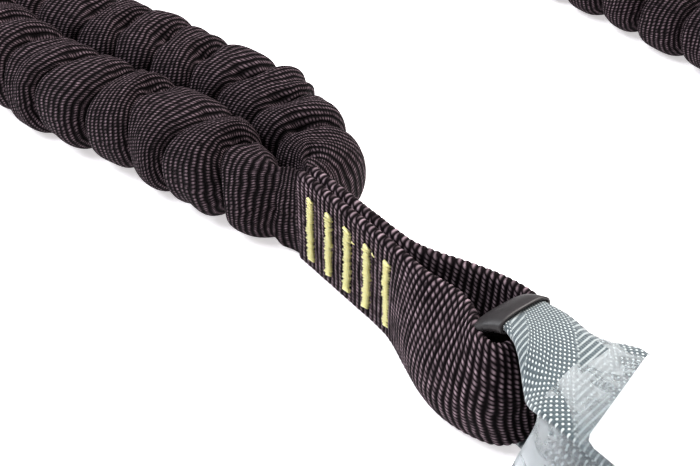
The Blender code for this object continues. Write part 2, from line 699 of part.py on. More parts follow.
def rivet(name, centre, parent):
    """A rivet whose two heads stand proud of the hook's faces, as a turned profile."""
    reach = HOOK_HEIGHT
    under = HOOK_THICK / 2 + FIT
    edge = 0.5 * MM
    profile = [
        (0, -reach), (0.7 * RIVET_HEAD, -reach), (RIVET_HEAD, -reach + edge), (RIVET_HEAD, -under),
        (RIVET_RADIUS, -under), (RIVET_RADIUS, under), (RIVET_HEAD, under), (RIVET_HEAD, reach - edge),
        (0.7 * RIVET_HEAD, reach), (0, reach),
    ]
    bm = bmesh.new()
    line = [bm.verts.new((centre[0] + r, centre[1], z)) for r, z in profile]
    edges = [bm.edges.new((a, b)) for a, b in zip(line, line[1:])]
    bmesh.ops.spin(
        bm, geom=line + edges, cent=(*centre, 0), axis=(0, 0, 1), angle=2 * math.pi, steps=14, use_merge=True
    )
    bmesh.ops.remove_doubles(bm, verts=bm.verts, dist=0.01 * MM)
    return node(name, bm, "zinc_steel", parent, (*centre, 0))


def make_hook(letter, frame):
    name = f"hook_{letter}"
    half = HOOK_THICK / 2
    body = node(f"{name}_body", prism(hook_outline(), -half, half), "forged_aluminium", frame)
    bevel_edges(body, HOOK_BEVEL)
    window = box((-12 * MM, -EYE_BAR_HALF, -2 * half), (EYE_WINDOW_U, EYE_BAR_HALF, 2 * half))
    cut(body, window, f"{name}_window", frame)
    into_arm = EYE_BAR_HALF + 3 * MM
    bar = cylinder(EYE_BAR_RADIUS, -into_arm, into_arm, sides=12)
    bmesh.ops.rotate(bar, matrix=Matrix.Rotation(math.pi / 2, 3, "X"), verts=bar.verts)
    cut(body, bar, f"{name}_bar", frame, "UNION")
    gate_u, gate_v = HOOK_GATE_PIVOT
    low = (gate_u - 9.5 * MM, gate_v - 12 * MM, -SLOT_HALF)
    gate_slot = box(low, (gate_u + HOOK_GATE_START + 1.5 * MM, gate_v + 11 * MM, SLOT_HALF))
    lever_u, lever_v = LEVER_PIVOT
    low = (lever_u - 36 * MM, lever_v - 10 * MM, -SLOT_HALF)
    lever_slot = box(low, (lever_u + 11 * MM, lever_v + 24 * MM, SLOT_HALF))
    cut(body, merged(gate_slot, lever_slot), f"{name}_slots", frame)
    hole = RIVET_RADIUS + FIT
    holes = [cylinder(hole, -2 * half, 2 * half, centre, 14) for centre in (HOOK_GATE_PIVOT, LEVER_PIVOT)]
    cut(body, merged(*holes), f"{name}_holes", frame)
    rivet(f"{name}_gate_rivet", HOOK_GATE_PIVOT, frame)
    rivet(f"{name}_lever_rivet", LEVER_PIVOT, frame)
    make_hook_gate(name, frame, hole)
    make_hook_lever(name, frame, hole)


def make_hook_gate(name, frame, hole):
    axis = empty(f"{name}_gate_axis", (*HOOK_GATE_PIVOT, 0), frame)
    tip = NOSE_U - FIT - 0.5 * MM - HOOK_GATE_PIVOT[0]
    wide = HOOK_GATE_WIDE / 2
    half = HOOK_THICK / 2 - MM
    shape = [(HOOK_GATE_START, -wide), (tip, -HOOK_GATE_DROP - wide + MM)]
    shape += [(tip, -HOOK_GATE_DROP + wide), (HOOK_GATE_START, wide)]
    gate = node(f"{name}_gate", prism(shape, -half, half), "zinc_steel", axis)
    bevel_edges(gate, MM)
    root = HOOK_GATE_START + 3.5 * MM
    tongue = arc((0, 0), 6 * MM, 90, 270, 8) + [(root, -4 * MM), (root, 4 * MM)]
    cut(gate, prism(tongue, -SLOT_HALF + FIT, FIT), f"{name}_gate_tongue", axis, "UNION")
    cut(gate, cylinder(hole, -2 * half, 2 * half, sides=14), f"{name}_gate_hole", axis)
    coil(f"{name}_gate_spring", HOOK_GATE_PIVOT, SPRING_SEAT, frame)


def make_hook_lever(name, frame, hole):
    axis = empty(f"{name}_lever_axis", (*LEVER_PIVOT, 0), frame)
    pad = [(-32, 5), (-28, 9.5), (-18, 11), (-8, 10), (1, 8.5), (6, 4), (6.5, -1), (3, -5.5), (-3, -5.5)]
    pad += [(-12, -3), (-24, -3.5), (-31, -2.5)]
    lever = prism([(u * MM, v * MM) for u, v in pad], -SLOT_HALF + FIT, SLOT_HALF - FIT)
    lever = node(f"{name}_lever", lever, "zinc_steel", axis)
    room = box((-8 * MM, -9 * MM, FIT), (12 * MM, 14 * MM, 9 * MM))
    cut(lever, room, f"{name}_lever_room", axis)
    cut(lever, cylinder(hole, -HOOK_THICK, HOOK_THICK, sides=14), f"{name}_lever_hole", axis)
    coil(f"{name}_lever_spring", LEVER_PIVOT, SPRING_SEAT, frame)


def main():
    clear_scene()
    make_eye()
    make_absorber()
    make_loop_sleeve()
    make_cover_and_label()
    for letter, route in (("a", LEG_A_ROUTE), ("b", LEG_B_ROUTE)):
        leg_end, turn = make_leg(letter, route)
        make_hook(letter, make_leg_end(letter, leg_end, turn))
    make_karabiner()


main()
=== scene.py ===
# %% [markdown]
# # Twin-tail shock absorbing lanyard
# A fall-arrest lanyard is mostly soft: one length of black tubular webbing is doubled at its middle into an eye, and
# its two ends, gathered on elastic cores, are the legs. The eye holds a grey strap, folded into a pack that tears open
# in a fall. Connectors of metal are at the three ends. The metal parts and every size come from the fixed frame, and
# this script gives each piece its final shape and finish.

import json
import math
import random

import bmesh
import bpy
import numpy as np
from mathutils import Matrix, Vector

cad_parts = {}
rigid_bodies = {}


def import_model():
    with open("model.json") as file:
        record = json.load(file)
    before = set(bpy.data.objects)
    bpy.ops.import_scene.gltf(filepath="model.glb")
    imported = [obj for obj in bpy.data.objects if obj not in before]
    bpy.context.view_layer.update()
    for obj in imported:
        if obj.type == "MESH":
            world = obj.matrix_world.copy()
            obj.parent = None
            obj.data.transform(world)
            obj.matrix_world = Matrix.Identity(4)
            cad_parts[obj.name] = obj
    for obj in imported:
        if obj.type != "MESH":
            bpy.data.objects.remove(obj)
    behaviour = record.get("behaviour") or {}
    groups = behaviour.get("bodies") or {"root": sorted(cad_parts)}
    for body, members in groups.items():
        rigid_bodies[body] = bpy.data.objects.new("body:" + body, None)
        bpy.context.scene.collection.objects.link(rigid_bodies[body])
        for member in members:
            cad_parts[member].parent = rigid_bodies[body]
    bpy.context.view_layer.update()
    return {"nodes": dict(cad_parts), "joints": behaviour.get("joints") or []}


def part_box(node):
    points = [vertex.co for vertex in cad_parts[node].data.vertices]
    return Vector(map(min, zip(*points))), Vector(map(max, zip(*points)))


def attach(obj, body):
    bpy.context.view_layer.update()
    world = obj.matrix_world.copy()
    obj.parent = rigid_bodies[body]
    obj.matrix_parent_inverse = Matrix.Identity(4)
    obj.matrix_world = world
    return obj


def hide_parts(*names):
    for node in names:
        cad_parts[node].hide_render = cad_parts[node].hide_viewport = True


for spare in list(bpy.data.objects):
    bpy.data.objects.remove(spare, do_unlink=True)
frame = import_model()
MM = 0.001

# %% [markdown]
# ## Camera, floor and light
# The camera looks down at the sewn eye, as one looks at a lanyard on a table. Black cloth on a white table needs a
# soft, bright light from all round, so that the ribs still show: a white world does that. Two large area lights, one
# over the far side and a weaker one over the near left, give the folds their shape.

# %% Camera
EYE_LEVEL = Vector((0.004, -0.1323, 0.1933))
AIM = Vector((-0.1772, 0.0043, 0.016))
camera = bpy.data.objects.new("camera", bpy.data.cameras.new("camera"))
camera.data.lens = 51.4
camera.data.clip_start = 0.01
camera.location = EYE_LEVEL
camera.rotation_euler = (AIM - EYE_LEVEL).to_track_quat("-Z", "Y").to_euler()
bpy.context.scene.collection.objects.link(camera)
bpy.context.scene.camera = camera
bpy.context.scene.view_settings.view_transform = "Standard"
print("camera", round((AIM - EYE_LEVEL).length, 3), "m from its aim")


# %% Colours and nodes
def colour(hex_code):
    """A colour as it looks on a screen, turned into the linear numbers that shaders use."""
    channels = [int(hex_code[i : i + 2], 16) / 255 for i in (1, 3, 5)]
    return tuple(c / 12.92 if c <= 0.04045 else ((c + 0.055) / 1.055) ** 2.4 for c in channels) + (1.0,)


def link(tree, node, **links):
    """Sets a node's inputs. A link's name is the input's name, or its index after an underscore, and its value is a
    socket, a node, whose first output is used, or a plain number or colour."""
    for name, value in links.items():
        place = int(name[1:]) if name[1:].isdigit() else name.replace("_", " ")
        if isinstance(value, bpy.types.Node):
            value = value.outputs[0]
        if isinstance(value, bpy.types.NodeSocket):
            tree.links.new(value, node.inputs[place])
        else:
            node.inputs[place].default_value = value
    return node


def add(tree, kind, *inputs, settings=None, **links):
    """Adds one node with its inputs by order or by name. A second word in its kind is its operation."""
    kind, _, operation = kind.partition(" ")
    made = tree.nodes.new(f"ShaderNode{kind}")
    for name, value in ((settings or {}) | ({"operation": operation} if operation else {})).items():
        setattr(made, name, value)
    return link(tree, made, **{f"_{i}": value for i, value in enumerate(inputs)}, **links)


def new_material(name, rough, metal=0.0, base="#808080"):
    """A material with a Principled shader; gives the material, its node tree and the shader."""
    material = bpy.data.materials.new(name)
    material.use_nodes = True
    tree = material.node_tree
    shader = tree.nodes["Principled BSDF"]
    link(tree, shader, Base_Color=colour(base), Roughness=rough, Metallic=metal)
    return material, tree, shader


def two_tone(tree, shader, share, first, second):
    """A base colour that goes from the first to the second as share goes from 0 to 1. It gives the mix back, so that
    another tone can go over it."""
    mixed = add(tree, "Mix", share, settings={"data_type": "RGBA"}, _6=first, _7=second).outputs[2]
    link(tree, shader, Base_Color=mixed)
    return mixed


def relief(tree, shader, height, distance, strength=1.0):
    """Lets the light see a height that is given from 0 to 1, over a distance in metres."""
    link(tree, shader, Normal=add(tree, "Bump", Height=height, Distance=distance, Strength=strength))


print("helpers ready")


# %% Floor and lights
FLOOR_GLOW = 0.55
ROOM_LIGHT = 0.46


def make_floor():
    bm = bmesh.new()
    bmesh.ops.create_grid(bm, x_segments=1, y_segments=1, size=3.0)
    mesh = bpy.data.meshes.new("table_top")
    bm.to_mesh(mesh)
    bm.free()
    floor = bpy.data.objects.new("table_top", mesh)
    bpy.context.scene.collection.objects.link(floor)
    material, tree, shader = new_material("white_laminate", 0.6, base="#f7f4f6")
    link(tree, shader, Emission_Color=colour("#fffcfd"), Emission_Strength=FLOOR_GLOW)
    mesh.materials.append(material)


def make_light(name, place, size, watts, tint="#ffffff"):
    light = bpy.data.objects.new(name, bpy.data.lights.new(name, "AREA"))
    light.data.size = size
    light.data.energy = watts
    light.data.color = colour(tint)[:3]
    light.location = place
    light.rotation_euler = (AIM - Vector(place)).to_track_quat("-Z", "Y").to_euler()
    bpy.context.scene.collection.objects.link(light)


make_floor()
make_light("far_softbox", (-0.1, 0.75, 1.1), 0.8, 29, "#fffaf6")
make_light("near_left_softbox", (-0.6, -0.5, 0.75), 0.5, 11, "#f6faff")
world = bpy.data.worlds.new("white_room")
world.use_nodes = True
link(world.node_tree, world.node_tree.nodes["Background"], Color=colour("#fbf8fa"), Strength=ROOM_LIGHT)
bpy.context.scene.world = world
print("floor, two softboxes and a white world")

# %% [markdown]
# ## Woven cloth
# Every piece of webbing here starts as a flat grid, as it leaves the loom: u runs along the webbing and v across it,
# both in metres. A function then says where each point of the grid lies. The ribs and threads are drawn in the grid's
# own u and v, so that they follow each fold, which a pattern fixed to the room would not do.


# %% Cloth from a flat grid
def from_mesh(mesh):
    bm = bmesh.new()
    bm.from_mesh(mesh)
    return bm


def cloth(name, places, along, across, material, closed=True):
    """A woven grid laid on the given places, an array of rows by columns. A closed one is joined at its last column."""
    rows, columns = places.shape[0] - 1, places.shape[1] - 1
    bm = bmesh.new()
    bmesh.ops.create_grid(bm, x_segments=rows, y_segments=columns, size=0.5)
    uv = bm.loops.layers.uv.get("UVMap") or bm.loops.layers.uv.new("UVMap")
    bm.verts.ensure_lookup_table()
    at = {v: (round((v.co.x + 0.5) * rows), round((v.co.y + 0.5) * columns)) for v in bm.verts}
    for face in bm.faces:
        for loop in face.loops:
            i, j = at[loop.vert]
            loop[uv].uv = (along[i, j], across[i, j])
    for vert, (i, j) in at.items():
        vert.co = places[i, j]
    if closed:
        bmesh.ops.remove_doubles(bm, verts=bm.verts, dist=1e-7)
    bmesh.ops.recalc_face_normals(bm, faces=bm.faces)
    return finished(name, bm, material)


def finished(name, bm, material, smooth=True):
    """Turns a bmesh into an object whose place is in its mesh."""
    mesh = bpy.data.meshes.new(name)
    bm.to_mesh(mesh)
    bm.free()
    if smooth:
        mesh.shade_smooth()
    mesh.materials.append(material)
    made = bpy.data.objects.new(name, mesh)
    bpy.context.scene.collection.objects.link(made)
    return made


def hand_over(piece, node, body="root"):
    """Puts a finished piece on its body, in place of the frame's plain part."""
    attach(piece, body)
    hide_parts(node)
    return piece


def smooth_line(points, step):
    """Evenly spaced points on a smooth curve through the given ones, as an array, and the curve's length."""
    knots = np.array(points, float)
    knots = np.vstack([2 * knots[0] - knots[1], knots, 2 * knots[-1] - knots[-2]])
    fine = []
    for p0, p1, p2, p3 in zip(knots, knots[1:], knots[2:], knots[3:]):
        for t in np.arange(0, 1, 0.05):
            bend = (2 * p0 - 5 * p1 + 4 * p2 - p3) * t * t + (3 * p1 - p0 - 3 * p2 + p3) * t**3
            fine.append((2 * p1 + (p2 - p0) * t + bend) / 2)
    fine = np.array(fine + [knots[-2]])
    run = np.concatenate([[0], np.cumsum(np.linalg.norm(np.diff(fine, axis=0), axis=1))])
    at = np.linspace(0, run[-1], round(run[-1] / step) + 1)
    return np.stack([np.interp(at, run, fine[:, k]) for k in range(knots.shape[1])], axis=1), run[-1]


def ease(value, low, high):
    """0 below low, 1 above high and smooth between, for numbers and arrays."""
    t = np.clip((value - low) / (high - low), 0, 1)
    return t * t * (3 - 2 * t)


def bump_of(value, centre, width):
    """A round bump of height 1."""
    return np.exp(-(((value - centre) / width) ** 2))


print("cloth helpers ready")

# %% [markdown]
# ## Black tubular webbing
# Nylon webbing is woven in plain ribs across its length, about 2 mm apart, and each rib is a row of short slanting
# floats a millimetre long. The black dye is warm, and the crowns of the floats catch the light as brown-grey dashes.
# So the finish has a height made of ribs and floats, which sets the bump, and the colour is painted from it: painted
# shade, near black, between the floats, and the brown-grey dashes as a painted highlight on their crowns.

# %% Black webbing finish
RIB_PITCH = 2.0 * MM
FLOAT_PITCH = 1.25 * MM


def ribbed_webbing(name, mid, crown, deep):
    """Black webbing in the cloth's own u and v: painted shade, near black, between the floats, mid on them, and a
    painted highlight in the crown colour on their crests.
    """
    material, tree, shader = new_material(name, 0.88)
    uv = add(tree, "UVMap", settings={"uv_map": "UVMap"})
    place = add(tree, "SeparateXYZ", uv)
    jitter = add(tree, "TexNoise", settings={"noise_dimensions": "2D"}, Vector=uv, Scale=160.0, Detail=1.0)
    wander = add(tree, "Math MULTIPLY_ADD", jitter, 0.5, -0.25)
    ribs = add(tree, "Math MULTIPLY_ADD", place.outputs[0], 1 / RIB_PITCH, wander)
    in_rib = add(tree, "Math FRACT", ribs)
    rib = add(tree, "Math SINE", add(tree, "Math MULTIPLY", in_rib, math.pi))
    lean = add(tree, "Math MULTIPLY", add(tree, "Math SUBTRACT", in_rib, 0.5), 0.9)
    offset = add(tree, "Math MULTIPLY_ADD", add(tree, "Math FLOOR", ribs), 0.5, lean)
    floats = add(tree, "Math MULTIPLY_ADD", place.outputs[1], 1 / FLOAT_PITCH, offset)
    in_float = add(tree, "Math MULTIPLY_ADD", add(tree, "Math FRACT", floats), 2.0, -1.0)
    crest = add(tree, "Math SUBTRACT", 1.0, add(tree, "Math POWER", add(tree, "Math ABSOLUTE", in_float), 2.5))
    floats_stand = add(tree, "Math MULTIPLY_ADD", crest, 0.75, 0.25)
    height = add(tree, "Math MULTIPLY", add(tree, "Math POWER", rib, 0.7), floats_stand)
    narrow = add(tree, "Math MULTIPLY", add(tree, "Math POWER", rib, 4.5), add(tree, "Math POWER", crest, 3.0))
    patches = add(tree, "TexNoise", settings={"noise_dimensions": "2D"}, Vector=uv, Scale=420.0, Detail=2.0)
    painted_highlight = add(tree, "Math MULTIPLY", narrow, add(tree, "Math MULTIPLY_ADD", patches, 1.6, -0.25))
    painted_highlight.use_clamp = True
    # Painted shade: from near black between the floats to mid on them; over it the crown colour as a painted highlight
    # on the crests.
    body = two_tone(tree, shader, height, colour("#030102"), colour(mid))
    two_tone(tree, shader, painted_highlight, body, colour(crown))
    link(tree, shader, Specular_IOR_Level=0.06)
    relief(tree, shader, height, deep)
    return material


# The near black in the gaps is painted shade, and #7f6c74 on the crowns is a painted highlight.
BLACK_WEBBING = ribbed_webbing("black_nylon_webbing", "#0a0608", "#7f6c74", 0.45 * MM)
print("black webbing finish")

# %% [markdown]
# ## The gathered legs
# A leg is a woven tube pulled together on a stretched elastic core, so it stands in fat rounded gathers with sharp
# valleys between them. A cloth simulation could find such folds, but not the same ones twice on another machine, and
# not with valleys this tight. A wheel's cycloid has just this profile: round crowns and pointed valleys. So each gather
# is one arch of a cycloid, with its own length, depth and slant, and along the tube's woven edge, where the two faces
# meet, the valleys are pinched deeper.

# %% Routes of the legs
LEG_A_ROUTE = (
    (-192, -4.5), (-205, -6.3), (-222, -6.6), (-240, -7.6), (-262, -12), (-284, -19), (-310, -26.5),
    (-342, -31.5), (-385, -31.5), (-428, -26), (-472, -7), (-510, 23), (-539, 63), (-553, 110), (-553, 160),
    (-539, 208), (-513, 251), (-480, 288), (-442, 308.5), (-410, 310), (-380, 310),
)
LEG_B_ROUTE = (
    (-192, 5.5), (-206, 12), (-222, 18.5), (-243, 23.3), (-271, 20.7), (-298, 13.5), (-326, 5), (-355, -1),
    (-388, -1), (-420, 7), (-452, 29), (-474, 63), (-481, 100), (-473, 138), (-451, 171), (-418, 192),
    (-380, 200), (-340, 202), (-300, 202), (-262, 201), (-232, 199.5), (-205, 197.5), (-180, 197), (-150, 197),
)
LEG_HALF = 17.4 * MM
LEG_HIGH = 15.3 * MM
LEG_Z = 15.3 * MM
GATHER = 20 * MM
ROWS_IN_GATHER = 22
COLUMNS = 72


def leg_line(route):
    line, length = smooth_line([(x * MM, y * MM) for x, y in route], 2 * MM)
    return np.column_stack([line, np.full(len(line), LEG_Z)]), length


LINE_A, LENGTH_A = leg_line(LEG_A_ROUTE)
LINE_B, LENGTH_B = leg_line(LEG_B_ROUTE)
print(f"legs {LENGTH_A:.3f} m and {LENGTH_B:.3f} m long")


# %% Gathers
def arch_steps(count, depth_share):
    """Places along one arch of a cycloid, from 0 to 1, evenly spaced along its curve."""
    t = np.linspace(0, 1, 400)
    x = t - np.sin(2 * math.pi * t) / (2 * math.pi)
    y = -depth_share * (0.5 + 0.5 * np.cos(2 * math.pi * t))
    run = np.concatenate([[0], np.cumsum(np.hypot(np.diff(x), np.diff(y)))])
    return np.interp(np.linspace(0, run[-1], count + 1), run, t)


def make_leg(name, line, length, seed, seam_turn, start_y, room, belly=0.0):
    """A gathered tube along a line. seam_turn is where round the tube its woven edge runs, in radians from the near
    side. room says how far the tube may reach to each side near its start, where the two legs lie together, and belly
    is how far its first gather bulges forwards, beside the sewn part."""
    chance = random.Random(seed)
    marks = [0.0, 9 * MM]
    while marks[-1] < length - 1.3 * GATHER:
        marks.append(marks[-1] + GATHER * chance.uniform(0.8, 1.2))
    marks.append(length)
    count = len(marks)
    turns = np.linspace(0, 2 * math.pi, COLUMNS + 1)
    turns[-1] = 2 * math.pi
    to_seam = (turns - seam_turn + math.pi) % (2 * math.pi) - math.pi
    seam = bump_of(to_seam, 0, 0.28)
    valleys, depths = [], []
    for k in range(count):
        swing = chance.uniform(-3.2, 3.2) * MM * np.sin(turns + chance.uniform(0, 6.28))
        swing += chance.uniform(-2.0, 2.0) * MM * np.sin(2 * turns + chance.uniform(0, 6.28))
        deep = chance.uniform(7.6, 11.5) * MM * (1 - 0.4 * (0.5 + 0.5 * np.cos(turns - chance.uniform(0, 6.28))))
        deep = deep + 6 * MM * seam
        inner = 0 < k < count - 1
        valleys.append(marks[k] + (swing if inner else 0 * swing))
        depths.append(deep if inner else 0 * deep)
    pinches = [chance.uniform(0.78, 1.05) for _ in range(count)]
    steps = arch_steps(ROWS_IN_GATHER, 0.4)
    s_rows, cut_rows, swell_rows = [], [], []
    for k in range(count - 1):
        crown = 1 + chance.uniform(-0.05, 0.05) + chance.uniform(0, 0.06) * np.sin(turns + chance.uniform(0, 6.28))
        crease_at = chance.uniform(0.35, 0.65)
        crease_turn = chance.uniform(0, 6.28)
        crease = chance.uniform(0.6, 2.6) * MM * (0.5 + 0.5 * np.cos(turns - crease_turn)) ** 2
        fold = 1.0 if k else 0.25
        for t in steps[: None if k == count - 2 else -1]:
            later = t * t * (3 - 2 * t)
            bunch = fold * (pinches[k] * (1 - later) + pinches[k + 1] * later) * (1 - 0.5 * seam)
            share = t - bunch * math.sin(2 * math.pi * t) / (2 * math.pi)
            s_rows.append(valleys[k] + (valleys[k + 1] - valleys[k]) * share)
            nearer = depths[k] if t < 0.5 else depths[k + 1]
            shape = (0.5 + 0.5 * math.cos(2 * math.pi * t)) ** 1.7
            ridge = math.sin(math.pi * t)
            cut_rows.append(nearer * shape + crease * ridge * bump_of(t, crease_at, 0.09))
            swell_rows.append(1 + (crown - 1) * ridge)
    s = np.clip(np.array(s_rows), 0, length)
    cut = np.array(cut_rows)
    swell = np.array(swell_rows)
    # where each point lies: centreline, sideways and up
    run = np.linspace(0, length, len(line))
    heading = np.gradient(line[:, :2], axis=0)
    heading /= np.linalg.norm(heading, axis=1)[:, None]
    centre_x, centre_y = (np.interp(s, run, line[:, k]) for k in (0, 1))
    head_x, head_y = (np.interp(s, run, heading[:, k]) for k in (0, 1))
    opened = ease(s, 2 * MM, 20 * MM)
    lead = ease(s, 0, 16 * MM)
    centre_y = start_y + (centre_y - start_y) * np.where(s < 16 * MM, lead, 1)
    far_room, near_room = room
    half_near = 1.7 * MM + (near_room(s) - 1.7 * MM) * opened
    half_far = 1.7 * MM + (far_room(s) - 1.7 * MM) * opened
    high = 15.6 * MM + (LEG_HIGH - 15.6 * MM) * opened
    side, up = np.cos(turns)[None, :], np.sin(turns)[None, :]
    boxy = 2 / 2.35
    side = np.sign(side) * np.abs(side) ** boxy
    up = np.sign(up) * np.abs(up) ** boxy
    half = np.where(side > 0, half_near, half_far)
    reach_side = half * side * swell
    reach_up = high * up * swell
    reach = np.hypot(reach_side, reach_up)
    fade = ease(s, 3 * MM, 22 * MM) * (1 - 0.8 * ease(s, length - 14 * MM, length))
    inward = np.minimum(cut * fade, 0.7 * reach)
    scale = 1 - inward / np.maximum(reach, 1e-6)
    end_taper = 1 - 0.45 * ease(s, length - 16 * MM, length)
    reach_side, reach_up = reach_side * scale * end_taper, reach_up * scale * end_taper
    x = centre_x - head_y * reach_side
    y = centre_y + head_x * reach_side
    x += belly * bump_of(s, 5 * MM, 10 * MM) * np.clip(-side, 0, 1)
    z = LEG_Z + reach_up + 0.6 * MM * (1 - opened)
    low = 0.35 * MM
    z = np.where(z < low + 1.5 * MM, low + 1.5 * MM * np.exp((z - low - 1.5 * MM) / (1.5 * MM)), z)
    places = np.stack([x, y, z], axis=2)
    places[:, -1] = places[:, 0]
    gaps = np.linalg.norm(np.diff(places, axis=0), axis=2)
    along_row = np.concatenate([[0], np.cumsum(np.median(gaps, axis=1))])
    along = np.repeat(along_row[:, None], COLUMNS + 1, axis=1)
    across = np.repeat((turns * LEG_HALF)[None, :], len(s), axis=0)
    print(f"{name}: {count - 1} gathers, {along_row[-1]:.2f} m of webbing in {length:.2f} m")
    return cloth(name, places, along, across, BLACK_WEBBING)


def between_legs(s):
    """Half the gap to the other leg, where they start together."""
    return np.interp(s, [0, 14 * MM, 31 * MM, 50 * MM, 70 * MM], [2.2 * MM, 9 * MM, 13 * MM, LEG_HALF, LEG_HALF])


def free_side(s):
    return np.interp(s, [0, 10 * MM, 26 * MM, 48 * MM], [4 * MM, 8 * MM, 13 * MM, LEG_HALF])


def bulging_side(s):
    return np.interp(s, [0, 4 * MM, 16 * MM], [11 * MM, 16 * MM, LEG_HALF])


leg_a = make_leg("gathered_leg_a", LINE_A, LENGTH_A, 11, math.radians(108), -1.95 * MM, (between_legs, free_side))
leg_b = make_leg(
    "gathered_leg_b", LINE_B, LENGTH_B, 29, math.radians(80), 1.95 * MM, (bulging_side, between_legs), 8 * MM)
hand_over(leg_a, "leg_a_webbing")
hand_over(leg_b, "leg_b_webbing")

# %% [markdown]
# ## The sewn eye
# The same webbing lies flat here, two layers on edge, and opens into the eye. Its near side bulges outwards while its
# upper edge is pulled in against the wear sleeve. The eye is lofted through a few stations, each with a place for the
# lower edge, the middle and the upper edge, and close to the camera its ribs are real relief.

# %% Eye
TACKS = [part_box(f"eye_tack_{i}") for i in range(1, 6)]
TACK_ONE = (TACKS[0][0].x + TACKS[0][1].x) / 2
EYE_LOW, EYE_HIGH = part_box("eye_webbing")
HALF_THICK = 1.8 * MM
RIB_ROWS = 6
# x from the first tack, y of the lower edge, the middle and the upper edge, how far the lower and the upper edge lie
# ahead of the middle, and the heights of both edges
EYE_STATIONS = (
    (-7.2, -1.95, -1.95, -1.95, 0, 0, 0.2, 32), (4, -1.95, -1.95, -1.95, 0, 0, 0.2, 32),
    (18, -1.95, -1.95, -1.95, 0, 0, 0.2, 32), (31, -2.0, -2.0, -1.95, 0, 0, 0.2, 32),
    (39, -3.0, -3.4, -2.0, 0, 0, 0.2, 32), (48, -5.4, -7.4, -1.7, 0, 0, 0.2, 31.8),
    (58, -7.6, -11.4, -0.2, 0, -0.5, 0.3, 31.8), (67, -8.6, -13.4, -1.4, 0.6, -2.0, 0.8, 31.6),
    (75, -8.0, -12.6, -5.4, 1.2, -3.6, 1.8, 31.2), (81.0, -5.6, -9.6, -5.2, 1.6, -5.0, 2.6, 30.8),
    (83.4, -0.6, -3.0, -1.8, 1.8, -6.0, 2.9, 30.6), (83.2, 5.2, 5.0, 4.6, 1.4, -6.2, 2.9, 30.4),
    (79.6, 10.4, 10.8, 11.0, 0.6, -4.6, 2.9, 30.4), (72, 12.8, 13.2, 13.8, 0, -2.0, 2.2, 31),
    (62, 10.6, 11.4, 12.6, 0, -0.6, 0.8, 31.4), (52, 6.6, 7.6, 8.8, 0, 0, 0.3, 31.8),
    (43, 3.4, 3.8, 4.4, 0, 0, 0.2, 32), (35, 2.1, 2.2, 2.2, 0, 0, 0.2, 32), (22, 1.95, 1.95, 1.95, 0, 0, 0.2, 32),
    (6, 1.95, 1.95, 1.95, 0, 0, 0.2, 32), (-7.2, 1.95, 1.95, 1.95, 0, 0, 0.2, 32),
)
# A copy of the legs' black webbing painted lighter, standing in for more light on the eye: a lighter mid and a brighter
# painted highlight on the crowns.
EYE_WEBBING_PAINTED_LIGHTER = ribbed_webbing("black_nylon_webbing_eye_painted_lighter", "#130d10", "#a8929b", 0.2 * MM)


def rib_height(along, depth):
    """The height of the ribs over the webbing, from 0 between ribs to depth on their crowns."""
    return depth * np.abs(np.sin(math.pi * along / RIB_PITCH)) ** 0.8


def make_eye():
    stations, length = smooth_line([[value * MM for value in row] for row in EYE_STATIONS], 0.05 * MM)
    mid = stations[:, [0, 2]]
    run = np.concatenate([[0], np.cumsum(np.linalg.norm(np.diff(mid, axis=0), axis=1))])
    at = np.arange(0, run[-1], RIB_PITCH / RIB_ROWS)
    columns = (np.interp(at, run, stations[:, k])[:, None] for k in range(8))
    x, low_y, mid_y, high_y, low_x, high_x, low_z, high_z = columns
    edge_steps = np.array([0, 0.004, 0.014, 0.03, 0.056])
    h = np.concatenate([edge_steps, np.linspace(0.1, 0.9, 14), 1 - edge_steps[::-1]])[None, :]
    t = 2 * h - 1
    share = (t * (t - 1) / 2, 1 - t * t, t * (t + 1) / 2)
    middle = np.stack([
        TACK_ONE + x + np.where(t < 0, low_x, high_x) * t * t,
        low_y * share[0] + mid_y * share[1] + high_y * share[2],
        low_z + (high_z - low_z) * h,
    ], axis=2)
    lengthwise = np.gradient(middle, axis=0)
    upward = np.gradient(middle, axis=1)
    outward = np.cross(lengthwise, upward)
    outward /= np.linalg.norm(outward, axis=2)[:, :, None]
    upward /= np.linalg.norm(upward, axis=2)[:, :, None]
    edge = np.minimum(np.minimum(h, 1 - h) * (EYE_HIGH.z - EYE_LOW.z) / HALF_THICK, 1)
    roundness = np.sqrt(1 - (1 - edge) ** 2)[:, :, None]
    ribs = rib_height(at, 0.34 * MM)[:, None, None] - 0.2 * MM
    sewn = sum(bump_of(middle[:, :, 0], (low.x + high.x) / 2, 1.5 * MM) for low, high in TACKS)
    tall = bump_of(middle[:, :, 2], 16 * MM, 13 * MM)
    thick = HALF_THICK - 0.35 * MM * (sewn * tall)[:, :, None]
    sides = []
    for side in (1, -1):
        away = outward * side * roundness + upward * np.sign(t)[:, :, None] * (1 - roundness)
        away /= np.linalg.norm(away, axis=2)[:, :, None]
        sides.append(middle + outward * side * roundness * thick + away * ribs)
    outer, inner = sides[0][:, :-1], sides[1][:, ::-1][:, :-1]
    places = np.concatenate([outer, inner, outer[:, :1]], axis=1)
    around = np.concatenate([h[0, :-1], 2 - h[0, ::-1][:-1], [2.0]]) * 32 * MM
    along = np.repeat(at[:, None], places.shape[1], axis=1)
    across = np.repeat(around[None, :], len(at), axis=0)
    return cloth("sewn_eye", places, along, across, EYE_WEBBING_PAINTED_LIGHTER)


eye = hand_over(make_eye(), "eye_webbing")
print("eye", len(eye.data.polygons), "faces")

# %% [markdown]
# ## Bar tacks
# A bar tack is a dense zigzag of thick polyester thread, sewn to and fro through both layers by a machine. A flat bar
# would look painted on, so each tack is the zigzag itself: one round thread that swings from side to side every
# half millimetre, a little unevenly, on both faces of the webbing. Two of the tacks have a loose thread end.


